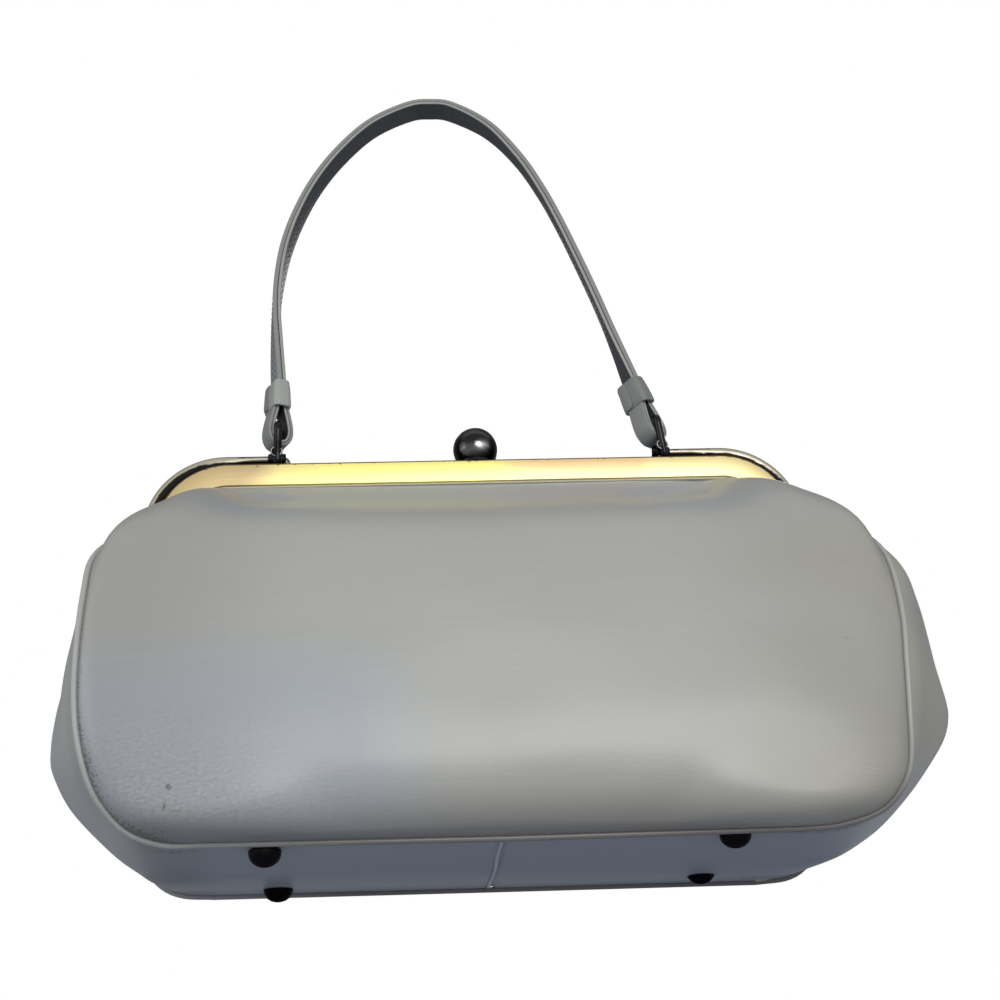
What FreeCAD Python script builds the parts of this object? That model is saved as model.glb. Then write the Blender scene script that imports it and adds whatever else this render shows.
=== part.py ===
import FreeCAD, Part
import math
import os

import Sketcher

doc = FreeCAD.newDocument("frame_purse")
Vec = FreeCAD.Vector

# Driving sizes in millimetres and degrees
SIZES = [
    ("frame_half", 118, "half width over the frame legs"),
    ("frame_top", 153, "height of the frame's top edge"),
    ("frame_radius", 26, "outer radius of the frame corners"),
    ("band", 9, "height of the frame band"),
    ("rail_gap", 0.3, "half of the gap between the closed rails"),
    ("rail_depth", 6.7, "depth of one rail"),
    ("metal", 1.2, "wall of the rail channel"),
    ("hinge_height", 114, "height of the hinge axis"),
    ("leg_lift", 6, "leg end above the hinge axis"),
    ("shank_lap", 4, "length of the eye shanks on the legs"),
    ("eye_radius", 4.2, "radius of the hinge eyes"),
    ("eye_gap", 0.3, "side gap between the hinge eyes"),
    ("pin_radius", 1.25, "hinge pin radius"),
    ("pin_clearance", 0.05, "radial clearance of the hinge pin"),
    ("pin_head", 2.6, "radius of the pin heads"),
    ("clamp_cord", 0.55, "radius of the cord clamped in the channel"),
    ("ball_radius", 8.2, "radius of the lock ball"),
    ("ball_rise", 7, "ball centre above the frame top"),
    ("ball_gap", 0.15, "half of the gap between the ball halves"),
    ("collar_radius", 6.4, "radius of the ball collar"),
    ("collar_height", 1.3, "height of the ball collar"),
    ("stud_radius", 1.4, "radius of the snap stud"),
    ("stud_reach", 2, "stud length on each side of the joint"),
    ("socket_radius", 3.2, "outer radius of the snap socket"),
    ("socket_bore", 1.9, "bore radius of the snap socket"),
    ("socket_depth", 2.8, "depth of the snap socket"),
    ("wire_radius", 1, "radius of the handle wires"),
    ("wire_back", 3.5, "handle wire behind the joint plane"),
    ("wire_rise", 6.3, "handle wire above the frame top"),
    ("wire_out", 3.5, "handle wire outside the frame legs"),
    ("wire_corner", 28, "corner radius of the handle wires"),
    ("wire_bend", 2.4, "bend radius at the wire ends"),
    ("wire_inner", 69.5, "inner anchor of the wires"),
    ("wire_foot", 124, "height of the outer wire anchor"),
    ("link_x", 74.5, "handle links from the middle"),
    ("link_wire", 0.8, "radius of the link wire"),
    ("link_play", 0.15, "play of a link on its wire"),
    ("link_bar", 9, "link bar above the handle wire"),
    ("link_half", 6.6, "half length of the link bar"),
    ("link_bend", 1.3, "corner radius of the links"),
    ("strap_width", 9, "width of the handle strap"),
    ("strap_layer", 2.2, "thickness of one strap layer"),
    ("strap_apex", 329, "height of the strap arch, middle of the strap"),
    ("loop_inner", 2.6, "inner radius of the strap end loops"),
    ("loop_width", 7.4, "width of the strap end loops"),
    ("loop_rise", 12, "loop crotch above the link bar"),
    ("keeper_rise", 15, "keeper lower edge above the link bar"),
    ("keeper_height", 11, "height of the keepers"),
    ("keeper_wall", 1.4, "wall of the keepers"),
    ("lean_right", 17, "lean of the right strap end in degrees"),
    ("leather", 1.6, "thickness of the bag leather"),
    ("bag_floor", 5, "underside of the bag"),
    ("bag_width", 135, "half width of the panels"),
    ("bag_depth", 47, "half depth over the panels"),
    ("ridge", 157.5, "gusset ridge from the middle"),
    ("split", 102, "height where the panels begin to follow the rails"),
    ("gusset_top", 110, "upper end of the gussets"),
    ("seam_gap", 0.25, "gap between sewn edges"),
    ("piping_radius", 1.7, "radius of the piping"),
    ("seam_strip", 5, "width of the bottom seam strip"),
    ("seam_strip_thick", 0.8, "thickness of the bottom seam strip"),
    ("board_thick", 1.5, "thickness of the bottom board"),
    ("board_half", 96, "half length of the bottom board"),
    ("board_depth", 40, "half depth of the bottom board"),
    ("foot_x", 75, "feet from the middle, sideways"),
    ("foot_y", 30, "feet from the middle, fore and aft"),
    ("foot_radius", 5.6, "radius of the feet"),
    ("foot_flat", 2.4, "radius of the flat under each foot"),
    ("foot_stud", 1.5, "radius of the foot studs"),
    ("washer_radius", 4.5, "radius of the foot washers"),
    ("washer_thick", 0.8, "thickness of the foot washers"),
    ("lining", 0.8, "thickness of the lining"),
    ("lining_gap", 0.5, "gap between leather and lining"),
    ("pocket_half", 60, "half width of the inner pocket"),
    ("pocket_low", 38, "lower edge of the inner pocket"),
    ("pocket_high", 88, "upper edge of the inner pocket"),
]

sheet = doc.addObject("Spreadsheet::Sheet", "dims")
sheet.Label = "dims"
for row, (alias, value, note) in enumerate(SIZES, start=1):
    sheet.set("A%d" % row, note)
    sheet.set("B%d" % row, str(value))
    sheet.setAlias("B%d" % row, alias)
doc.recompute()


class Size:
    """A length that keeps its value and the sheet formula it comes from."""

    def __init__(self, value, text):
        self.value = float(value)
        self.text = text

    @staticmethod
    def of(item):
        return item if isinstance(item, Size) else Size(item, repr(float(item)))

    def __add__(self, other):
        other = Size.of(other)
        return Size(self.value + other.value, "(%s + %s)" % (self.text, other.text))

    def __sub__(self, other):
        other = Size.of(other)
        return Size(self.value - other.value, "(%s - %s)" % (self.text, other.text))

    def __mul__(self, other):
        other = Size.of(other)
        return Size(self.value * other.value, "(%s * %s)" % (self.text, other.text))

    def __neg__(self):
        return Size(-self.value, "(0 - %s)" % self.text)

    def __float__(self):
        return self.value


S = {alias: Size(sheet.get(alias), "dims." + alias) for alias, _, _ in SIZES}
N = {alias: size.value for alias, size in S.items()}


# Sketches, bodies and their sheet bindings
def new_body(label):
    body = doc.addObject("PartDesign::Body", label)
    body.Label = label
    return body


def bind(obj, prop, size):
    obj.setExpression(prop, Size.of(size).text)


def new_sketch(body, name, role, offset):
    plane = [item for item in body.Origin.OriginFeatures if item.Role == role][0]
    sketch = body.newObject("Sketcher::SketchObject", name)
    sketch.AttachmentSupport = [(plane, "")]
    sketch.MapMode = "FlatFace"
    bind(sketch, "AttachmentOffset.Base.z", offset)
    doc.recompute()
    return sketch


def hold(sketch, kind, where, size):
    size = Size.of(size)
    index = sketch.addConstraint(Sketcher.Constraint(kind, *where, size.value))
    sketch.setExpression("Constraints[%d]" % index, size.text)


def hold_x(sketch, geo, point, size):
    hold(sketch, "DistanceX", (-1, 1, geo, point), size)


def hold_y(sketch, geo, point, size):
    hold(sketch, "DistanceY", (-1, 1, geo, point), size)


def place_point(sketch, geo, end, point):
    """Bind one end of a line, or a centre, to its sheet position."""
    for size, axis, setter in ((point[0], -2, hold_x), (point[1], -1, hold_y)):
        if float(size) == 0:
            sketch.addConstraint(Sketcher.Constraint("PointOnObject", geo, end, axis))
        else:
            setter(sketch, geo, end, size)


def draw_circle(sketch, centre, radius):
    start = Vec(float(centre[0]), float(centre[1]), 0)
    geo = sketch.addGeometry(Part.Circle(start, Vec(0, 0, 1), float(radius)))
    place_point(sketch, geo, 3, centre)
    hold(sketch, "Radius", (geo,), radius)
    return geo


def draw_polygon(sketch, points):
    count = len(points)
    flat = [Vec(float(x), float(y), 0) for x, y in points]
    geos = [sketch.addGeometry(Part.LineSegment(flat[i], flat[(i + 1) % count])) for i in range(count)]
    for i in range(count):
        sketch.addConstraint(Sketcher.Constraint("Coincident", geos[i], 2, geos[(i + 1) % count], 1))
    for geo, point in zip(geos, points):
        place_point(sketch, geo, 1, point)
    return geos


def step_along(corner, toward, distance):
    """Point on a square-on line, a distance from its corner."""
    dx, dy = float(toward[0]) - float(corner[0]), float(toward[1]) - float(corner[1])
    if abs(dx) > abs(dy):
        return Size.of(corner[0]) + Size.of(distance) * math.copysign(1, dx), Size.of(corner[1])
    return Size.of(corner[0]), Size.of(corner[1]) + Size.of(distance) * math.copysign(1, dy)


def quarter_arc(p, corner, q):
    """Arc that rounds a square corner between two tangent points."""
    centre = p + q - corner
    if ((corner - p).cross(q - corner)).z < 0:
        p, q = q, p
    start = math.atan2(p.y - centre.y, p.x - centre.x)
    circle = Part.Circle(centre, Vec(0, 0, 1), (p - centre).Length)
    return Part.ArcOfCircle(circle, start, start + math.pi / 2)


def draw_route(sketch, points, radii):
    """Square-on polyline with rounded corners; returns its first and last line."""
    starts, ends = [points[0]], []
    for before, corner, after, radius in zip(points, points[1:], points[2:], radii):
        ends.append(step_along(corner, before, radius))
        starts.append(step_along(corner, after, radius))
    ends.append(points[-1])
    lines = []
    for start, end in zip(starts, ends):
        flat = [Vec(float(x), float(y), 0) for x, y in (start, end)]
        lines.append(sketch.addGeometry(Part.LineSegment(*flat)))
        place_point(sketch, lines[-1], 1, start)
        place_point(sketch, lines[-1], 2, end)
    for i, radius in enumerate(radii):
        p, q = sketch.Geometry[lines[i]].EndPoint, sketch.Geometry[lines[i + 1]].StartPoint
        corner = Vec(float(points[i + 1][0]), float(points[i + 1][1]), 0)
        geo = sketch.addGeometry(quarter_arc(p, corner, q))
        first = 1 if (sketch.Geometry[geo].StartPoint - p).Length < 1e-6 else 2
        sketch.addConstraint(Sketcher.Constraint("Coincident", geo, first, lines[i], 2))
        sketch.addConstraint(Sketcher.Constraint("Coincident", geo, 3 - first, lines[i + 1], 1))
        upright = abs(p.x - corner.x) < 1e-9
        hold_x(sketch, geo, 3, starts[i + 1][0] if upright else ends[i][0])
    return lines[0], lines[-1]


def join_ends(sketch, first, second):
    """Close two routes into one outline."""
    geometry = sketch.Geometry
    for a, a_end, b, b_end in ((first[0], 1, second[0], 1), (first[1], 2, second[1], 2)):
        p = geometry[a].StartPoint if a_end == 1 else geometry[a].EndPoint
        q = geometry[b].StartPoint if b_end == 1 else geometry[b].EndPoint
        line = sketch.addGeometry(Part.LineSegment(p, q))
        sketch.addConstraint(Sketcher.Constraint("Coincident", line, 1, a, a_end))
        sketch.addConstraint(Sketcher.Constraint("Coincident", line, 2, b, b_end))


def arch_points(half, top, foot):
    return [(-half, foot), (-half, top), (half, top), (half, foot)]


def pad(body, sketch, length, reverse):
    feature = body.newObject("PartDesign::Pad", "Pad")
    feature.Profile = sketch
    bind(feature, "Length", length)
    feature.Reversed = reverse
    doc.recompute()
    return feature


def pocket(body, sketch, length, reverse):
    feature = body.newObject("PartDesign::Pocket", "Pocket")
    feature.Profile = sketch
    bind(feature, "Length", length)
    feature.Reversed = reverse
    doc.recompute()
    return feature


def revolve(body, sketch, axis, angle, reverse):
    feature = body.newObject("PartDesign::Revolution", "Revolution")
    feature.Profile = sketch
    feature.ReferenceAxis = (sketch, [axis])
    feature.Angle = angle
    feature.Reversed = reverse
    doc.recompute()
    return feature


# Frame rails: channel section bent into an arch, with an eye below each leg
def make_rail(label, front):
    body = new_body(label)
    side = 1 if front else -1
    leg_foot = S["hinge_height"] + S["leg_lift"]
    outline = new_sketch(body, "RailOutline", "XZ_Plane", S["rail_gap"] * side)
    half, top, band = S["frame_half"], S["frame_top"], S["band"]
    outer = draw_route(outline, arch_points(half, top, leg_foot), [S["frame_radius"]] * 2)
    inner = draw_route(outline, arch_points(half - band, top - band, leg_foot),
                       [S["frame_radius"] - S["band"]] * 2)
    join_ends(outline, outer, inner)
    pad(body, outline, S["rail_depth"], not front)
    channel = new_sketch(body, "Channel", "XZ_Plane", (S["rail_gap"] + S["metal"]) * side)
    wall = S["metal"]
    past = S["band"] + 1
    outer = draw_route(channel, arch_points(S["frame_half"] - wall, S["frame_top"] - wall, leg_foot - 1),
                       [S["frame_radius"] - wall] * 2)
    inner = draw_route(channel, arch_points(S["frame_half"] - past, S["frame_top"] - past, leg_foot - 1),
                       [S["frame_radius"] - past] * 2)
    join_ends(channel, outer, inner)
    pocket(body, channel, S["rail_depth"] - S["metal"] * 2, front)
    lap = Size.of(0) if front else S["metal"] + S["eye_gap"]
    for hand in (1, -1):
        near = (S["frame_half"] - S["metal"] - lap) * hand
        eye = new_sketch(body, "Eye", "YZ_Plane", near)
        draw_circle(eye, (0, S["hinge_height"]), S["eye_radius"])
        pad(body, eye, S["metal"], hand < 0)
        shank = new_sketch(body, "Shank", "YZ_Plane", near)
        low, high = S["hinge_height"], leg_foot + S["shank_lap"]
        inside, outside = -(S["rail_gap"] * side), -(S["eye_radius"] * side)
        draw_polygon(shank, [(inside, low), (outside, low), (outside, high), (inside, high)])
        pad(body, shank, S["metal"], hand < 0)
        bore = new_sketch(body, "Bore", "YZ_Plane", near)
        draw_circle(bore, (0, S["hinge_height"]), S["pin_radius"] + S["pin_clearance"])
        pocket(body, bore, S["metal"], hand > 0)
    return body


make_rail("front_frame_rail", True)
make_rail("rear_frame_rail", False)


# Hinge pins: a shank with a head on each side of the two eyes
def make_pin(label, hand):
    body = new_body(label)
    sketch = new_sketch(body, "PinProfile", "XZ_Plane", 0)
    near = S["frame_half"] - S["metal"] * 2 - S["eye_gap"] - 0.1
    far = S["frame_half"] + 0.1
    shank, head, thick = S["pin_radius"], S["pin_head"], S["metal"]
    centre = S["hinge_height"]
    points = [(near - thick, centre), (far + thick, centre), (far + thick, centre + head),
              (far, centre + head), (far, centre + shank), (near, centre + shank), (near, centre + head),
              (near - thick, centre + head)]
    geos = draw_polygon(sketch, [(x * hand, z) for x, z in points])
    revolve(body, sketch, "Edge%d" % (geos[0] + 1), 360, False)
    return body


make_pin("hinge_pin_left", -1)
make_pin("hinge_pin_right", 1)


# Clamp cords that hold the leather edge in each channel
def make_clamp_cord(label, front):
    body = new_body(label)
    side = -1 if front else 1
    depth = (S["rail_gap"] + S["metal"] + S["clamp_cord"] + 0.1) * side
    inset = S["metal"] + S["clamp_cord"] + 0.1
    foot = S["hinge_height"] + S["leg_lift"] + S["shank_lap"] + 0.3
    route = new_sketch(body, "CordRoute", "XZ_Plane", -depth)
    draw_route(route, arch_points(S["frame_half"] - inset, S["frame_top"] - inset, foot),
               [S["frame_radius"] - inset] * 2)
    section = new_sketch(body, "CordSection", "XY_Plane", foot)
    draw_circle(section, (-(S["frame_half"] - inset), depth), S["clamp_cord"])
    pipe = body.newObject("PartDesign::AdditivePipe", "CordPipe")
    pipe.Profile = section
    pipe.Spine = route
    doc.recompute()
    return body


make_clamp_cord("front_clamp_cord", True)
make_clamp_cord("rear_clamp_cord", False)


# Kiss lock: a ball split in its middle plane, with a snap stud and socket
def make_ball_half(label, front):
    body = new_body(label)
    centre = S["frame_top"] + S["ball_rise"]
    lap = N["collar_height"] - N["ball_rise"]
    waist = math.sqrt(N["ball_radius"] ** 2 - lap ** 2)
    side = -1 if front else 1
    sketch = new_sketch(body, "BallProfile", "XZ_Plane", -(S["ball_gap"] * side))
    low = S["frame_top"]
    seat = low + S["collar_height"]
    wide = N["collar_radius"]
    flat = [Vec(0, float(low), 0), Vec(wide, float(low), 0), Vec(wide, float(seat), 0),
            Vec(waist, float(seat), 0)]
    top = Vec(0, float(centre) + N["ball_radius"], 0)
    lines = [sketch.addGeometry(Part.LineSegment(flat[i], flat[i + 1])) for i in range(3)]
    mid = Vec(N["ball_radius"], float(centre), 0)
    arc = sketch.addGeometry(Part.Arc(flat[3], mid, top))
    axis = sketch.addGeometry(Part.LineSegment(top, flat[0]))
    arc_start = 1 if (sketch.Geometry[arc].StartPoint - flat[3]).Length < 1e-6 else 2
    chain = [(lines[0], 2, lines[1], 1), (lines[1], 2, lines[2], 1), (lines[2], 2, arc, arc_start),
             (arc, 3 - arc_start, axis, 1), (axis, 2, lines[0], 1)]
    for a, a_end, b, b_end in chain:
        sketch.addConstraint(Sketcher.Constraint("Coincident", a, a_end, b, b_end))
    for line in (lines[0], lines[2]):
        sketch.addConstraint(Sketcher.Constraint("Horizontal", line))
    sketch.addConstraint(Sketcher.Constraint("Vertical", lines[1]))
    sketch.addConstraint(Sketcher.Constraint("PointOnObject", axis, 1, -2))
    sketch.addConstraint(Sketcher.Constraint("PointOnObject", axis, 2, -2))
    sketch.addConstraint(Sketcher.Constraint("PointOnObject", arc, 3, -2))
    hold_y(sketch, lines[0], 1, low)
    hold_x(sketch, lines[1], 1, S["collar_radius"])
    hold_y(sketch, lines[2], 1, seat)
    hold_y(sketch, arc, 3, centre)
    hold(sketch, "Radius", (arc,), S["ball_radius"])
    revolve(body, sketch, "Edge%d" % (axis + 1), 180, False)
    if (body.Shape.CenterOfMass.y > 0) == front:
        body.Tip.Reversed = True
        doc.recompute()
    hole = new_sketch(body, "LockHole", "XZ_Plane", -(S["ball_gap"] * side))
    radius = S["stud_radius"] + 0.02 if front else S["socket_radius"] + 0.02
    depth = S["stud_reach"] if front else S["socket_depth"]
    draw_circle(hole, (0, centre), radius)
    pocket(body, hole, depth, front)
    return body


make_ball_half("front_ball_half", True)
make_ball_half("rear_ball_half", False)

stud = new_body("snap_stud")
stud_face = new_sketch(stud, "StudFace", "XZ_Plane", S["ball_gap"] + S["stud_reach"])
draw_circle(stud_face, (0, S["frame_top"] + S["ball_rise"]), S["stud_radius"])
pad(stud, stud_face, S["stud_reach"] * 2, True)

socket = new_body("snap_socket")
socket_face = new_sketch(socket, "SocketFace", "XZ_Plane", -S["ball_gap"])
draw_circle(socket_face, (0, S["frame_top"] + S["ball_rise"]), S["socket_radius"])
draw_circle(socket_face, (0, S["frame_top"] + S["ball_rise"]), S["socket_bore"])
pad(socket, socket_face, S["socket_depth"], True)


# Handle wires: over each corner of the rear rail, both ends fixed to it
def make_handle_wire(label, hand):
    body = new_body(label)
    high = S["frame_top"] + S["wire_rise"]
    out = S["frame_half"] + S["wire_out"]
    points = [(S["wire_inner"], S["frame_top"]), (S["wire_inner"], high), (out, high), (out, S["wire_foot"]),
              (S["frame_half"], S["wire_foot"])]
    route = new_sketch(body, "WireRoute", "XZ_Plane", -S["wire_back"])
    draw_route(route, [(x * hand, z) for x, z in points], [S["wire_bend"], S["wire_corner"], S["wire_bend"]])
    section = new_sketch(body, "WireSection", "XY_Plane", S["frame_top"])
    draw_circle(section, (S["wire_inner"] * hand, S["wire_back"]), S["wire_radius"])
    pipe = body.newObject("PartDesign::AdditivePipe", "WirePipe")
    pipe.Profile = section
    pipe.Spine = route
    doc.recompute()
    return body


make_handle_wire("handle_wire_left", -1)
make_handle_wire("handle_wire_right", 1)


# Free shapes: formed leather and bent wire
def add_shape(label, shape):
    feature = doc.addObject("Part::Feature", label)
    feature.Label = label
    feature.Shape = shape
    return feature


def rounded_loop(points, radii):
    """Closed wire of lines and tangent arcs through the given corners."""
    count = len(points)
    cuts = []
    for i, radius in enumerate(radii):
        d_in = (points[i] - points[i - 1]).normalize()
        d_out = (points[(i + 1) % count] - points[i]).normalize()
        turn = d_in.getAngle(d_out)
        run = radius * math.tan(turn / 2)
        inward = (d_out - d_in).normalize()
        middle = points[i] + inward * (radius / math.cos(turn / 2) - radius)
        cuts.append((points[i] - d_in * run, middle, points[i] + d_out * run))
    edges = []
    for i in range(count):
        edges.append(Part.Arc(*cuts[i]).toShape())
        edges.append(Part.LineSegment(cuts[i][2], cuts[(i + 1) % count][0]).toShape())
    return Part.Wire(edges)


# Handle links: wire triangles that hang on the handle wires
wire_axis = Vec(0, N["wire_back"], N["frame_top"] + N["wire_rise"])
link_turn = N["wire_radius"] + N["link_play"] + N["link_wire"]


def make_link(label, hand):
    foot = wire_axis + Vec(N["link_x"] * hand, 0, 0)
    half, bar = N["link_half"], N["link_bar"]
    reach = math.hypot(half, bar)
    aim = math.atan2(bar, half) - math.acos(link_turn / reach)
    apex = link_turn / math.sin(-aim)
    corners = [foot + Vec(0, -half, bar), foot + Vec(0, 0, -apex), foot + Vec(0, half, bar)]
    path = rounded_loop(corners, [N["link_bend"], link_turn, N["link_bend"]])
    start = path.Edges[-1]
    at = start.valueAt((start.FirstParameter + start.LastParameter) / 2)
    along = start.tangentAt((start.FirstParameter + start.LastParameter) / 2)
    edges = path.Edges
    half_one = Part.LineSegment(at, edges[-1].Vertexes[1].Point).toShape()
    half_two = Part.LineSegment(edges[-1].Vertexes[0].Point, at).toShape()
    spine = Part.Wire([half_one] + edges[:-1] + [half_two])
    ring = Part.Wire(Part.Circle(at, along, N["link_wire"]).toShape())
    return add_shape(label, spine.makePipeShell([ring], True, False))


make_link("handle_link_left", -1)
make_link("handle_link_right", 1)


# Strap ends: each layer turns round the link bar and back under a keeper
def end_placement(hand):
    lean = 0 if hand < 0 else N["lean_right"]
    at = wire_axis + Vec(N["link_x"] * hand, 0, N["link_bar"])
    return FreeCAD.Placement(at, FreeCAD.Rotation(Vec(0, 1, 0), -lean))


def make_loop(label, hand):
    layer, inner, crotch = N["strap_layer"], N["loop_inner"], N["loop_rise"]
    rise = inner - N["link_wire"] - 0.3
    outer = inner + layer
    top = N["keeper_rise"] + N["keeper_height"] / 2 - 0.1

    def bow(radius, peak):
        left, right = Vec(-radius, 0, rise), Vec(radius, 0, rise)
        arc = Part.Arc(left, Vec(0, 0, rise - radius), right).toShape()
        lines = [Part.LineSegment(a, b).toShape() for a, b in zip([right] + peak, peak + [left])]
        return Part.Face(Part.Wire([arc] + lines))

    skin = bow(outer, [Vec(layer, 0, crotch), Vec(layer, 0, top), Vec(-layer, 0, top),
                       Vec(-layer, 0, crotch)])
    hollow = bow(inner, [Vec(0, 0, crotch)])
    face = skin.cut(hollow)
    face.translate(Vec(0, -N["loop_width"] / 2, 0))
    feature = add_shape(label, face.extrude(Vec(0, N["loop_width"], 0)).Solids[0])
    feature.Placement = end_placement(hand)
    return feature


make_loop("handle_loop_left", -1)
make_loop("handle_loop_right", 1)


# Keepers: leather sleeves round the strap ends
def make_keeper(label, hand):
    body = new_body(label)
    sketch = new_sketch(body, "KeeperSection", "XY_Plane", S["keeper_rise"])
    in_x = S["strap_layer"] + 0.15
    in_y = S["strap_width"] * 0.5 + 0.15
    for x, y in ((in_x, in_y), (in_x + S["keeper_wall"], in_y + S["keeper_wall"])):
        draw_polygon(sketch, [(-x, -y), (x, -y), (x, y), (-x, y)])
    pad(body, sketch, S["keeper_height"], False)
    body.Placement = end_placement(hand)
    return body


make_keeper("handle_keeper_left", -1)
make_keeper("handle_keeper_right", 1)

# Strap: two layers swept along one arch that leans to the left
left_end, right_end = end_placement(-1), end_placement(1)
strap_start = Vec(0, 0, N["keeper_rise"] + N["keeper_height"] / 2 + 0.1)
first, last = left_end.multVec(strap_start), right_end.multVec(strap_start)
climb = N["strap_apex"] - first.z
span = last.x - first.x
ARCH = [(-0.012, 0.25), (0.03, 0.46), (0.12, 0.70), (0.21, 0.83), (0.46, 1.0), (0.70, 0.82), (0.80, 0.60),
        (0.90, 0.30)]
strap_points = [first] + [Vec(first.x + a * span, first.y, first.z + b * climb) for a, b in ARCH] + [last]
strap_curve = Part.BSplineCurve()
strap_curve.interpolate(Points=strap_points, InitialTangent=left_end.Rotation.multVec(Vec(0, 0, 1)),
                        FinalTangent=right_end.Rotation.multVec(Vec(0, 0, -1)))


def make_strap(label, near, far):
    """Strap layer between two offsets outward from the arch line."""
    first_t, last_t = strap_curve.FirstParameter, strap_curve.LastParameter
    steps = 40
    rails = {near: [], far: []}
    for i in range(steps + 1):
        t = first_t + (last_t - first_t) * i / steps
        along = Vec(*strap_curve.tangent(t)[0])
        outward = Vec(-along.z, 0, along.x)
        for offset, points in rails.items():
            points.append(strap_curve.value(t) + outward * offset)
    edges = []
    for points in rails.values():
        curve = Part.BSplineCurve()
        curve.interpolate(Points=points)
        edges.append(curve.toShape())
    caps = [Part.LineSegment(rails[near][i], rails[far][i]).toShape() for i in (0, -1)]
    face = Part.Face(Part.Wire([edges[0], caps[1], edges[1], caps[0]]))
    face.translate(Vec(0, -N["strap_width"] / 2, 0))
    return add_shape(label, face.extrude(Vec(0, N["strap_width"], 0)))


make_strap("handle_strap_outer", 0.05, N["strap_layer"])
make_strap("handle_strap_inner", -N["strap_layer"], -0.05)


# Bag form: half width, half depth and gusset ridge at each height, as shares of the full sizes
BAG_LEVELS = [
    (0.00, 0.770, 0.955, 0.745),
    (0.03, 0.837, 0.965, 0.784),
    (0.09, 0.904, 0.978, 0.844),
    (0.19, 0.956, 0.990, 0.912),
    (0.40, 0.994, 1.000, 0.995),
    (0.68, 1.000, 0.988, 0.974),
    (0.87, 0.992, 0.930, 0.945),
    (1.00, 0.978, 0.862, 0.910),
]
GUSSET_END = 0.870
CROWN = 1.5


def bag_level(share):
    """Half width, half depth and ridge between the listed heights."""
    for low, high in zip(BAG_LEVELS, BAG_LEVELS[1:]):
        if share <= high[0] + 1e-9:
            t = (share - low[0]) / (high[0] - low[0])
            return [a + (b - a) * t for a, b in zip(low[1:], high[1:])]
    return list(BAG_LEVELS[-1][1:])


def wall_section(z, half, depths, thick, side):
    """Upright wall cut across, from its depths at the ends, the shoulders and the middle."""
    end, shoulder, middle = depths
    profile = [(-1, end), (-0.8, shoulder), (0, middle), (0.8, shoulder), (1, end)]

    def bowed(offset):
        curve = Part.BSplineCurve()
        points = [Vec(share * half, side * (depth - offset), z) for share, depth in profile]
        curve.interpolate(Points=points)
        return curve.toShape(), points[0], points[-1]

    outer, outer_a, outer_b = bowed(0)
    inner, inner_a, inner_b = bowed(thick)
    return Part.Wire([outer, Part.LineSegment(outer_b, inner_b).toShape(), inner,
                      Part.LineSegment(inner_a, outer_a).toShape()])


def panel_levels(inset, top):
    floor = N["bag_floor"]
    reach = N["split"] - floor
    for share, wide, deep, _ in BAG_LEVELS:
        z = floor + share * reach
        if z <= top + 1e-6:
            yield z, wide * N["bag_width"] - inset, deep * N["bag_depth"] - inset


def make_panel(label, side):
    sections = [wall_section(z, half, (depth, depth + CROWN * 0.76, depth + CROWN), N["leather"], side)
                for z, half, depth in panel_levels(0, N["split"])]
    return add_shape(label, Part.makeLoft(sections, True, False))


make_panel("front_panel", -1)
make_panel("back_panel", 1)

# Upper panels: rise from the split line over full shoulders to the rail
# Each row: height, half width, then depth at the ends, the shoulders and the middle, as shares
TOP_LEVELS = [
    (0.00, 0.955, 0.862, 0.905, 0.896),
    (0.19, 0.940, 0.600, 0.872, 0.825),
    (0.41, 0.900, 0.300, 0.785, 0.690),
    (0.63, 0.860, 0.220, 0.650, 0.475),
    (0.84, 0.745, 0.205, 0.370, 0.265),
    (1.00, 0.660, 0.150, 0.160, 0.160),
]


def make_panel_top(label, side):
    low = N["split"] + 0.3
    reach = N["frame_top"] - N["band"] - 0.4 - low
    sections = []
    for share, wide, *depths in TOP_LEVELS:
        depths = [depth * N["bag_depth"] for depth in depths]
        sections.append(wall_section(low + share * reach, wide * N["bag_width"], depths, N["leather"], side))
    return add_shape(label, Part.makeLoft(sections, True, False))


make_panel_top("front_panel_top", -1)
make_panel_top("back_panel_top", 1)


# Gussets: folded outward along a ridge, running on under the bag to the middle seam
# Share of the way to the ridge that the swelled flank reaches halfway along its depth
FLANK = 0.60


def gusset_section(z, half, depth, ridge, thick, hand):
    flank = half + (ridge - half) * FLANK
    outer = [(half, -depth), (flank, -depth / 2), (ridge, 0), (flank, depth / 2), (half, depth)]
    inner = [(x - thick * 1.05, y) for x, y in reversed(outer)]
    points = [Vec(hand * x, y, z) for x, y in outer + inner]
    return Part.makePolygon(points + points[:1])


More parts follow.
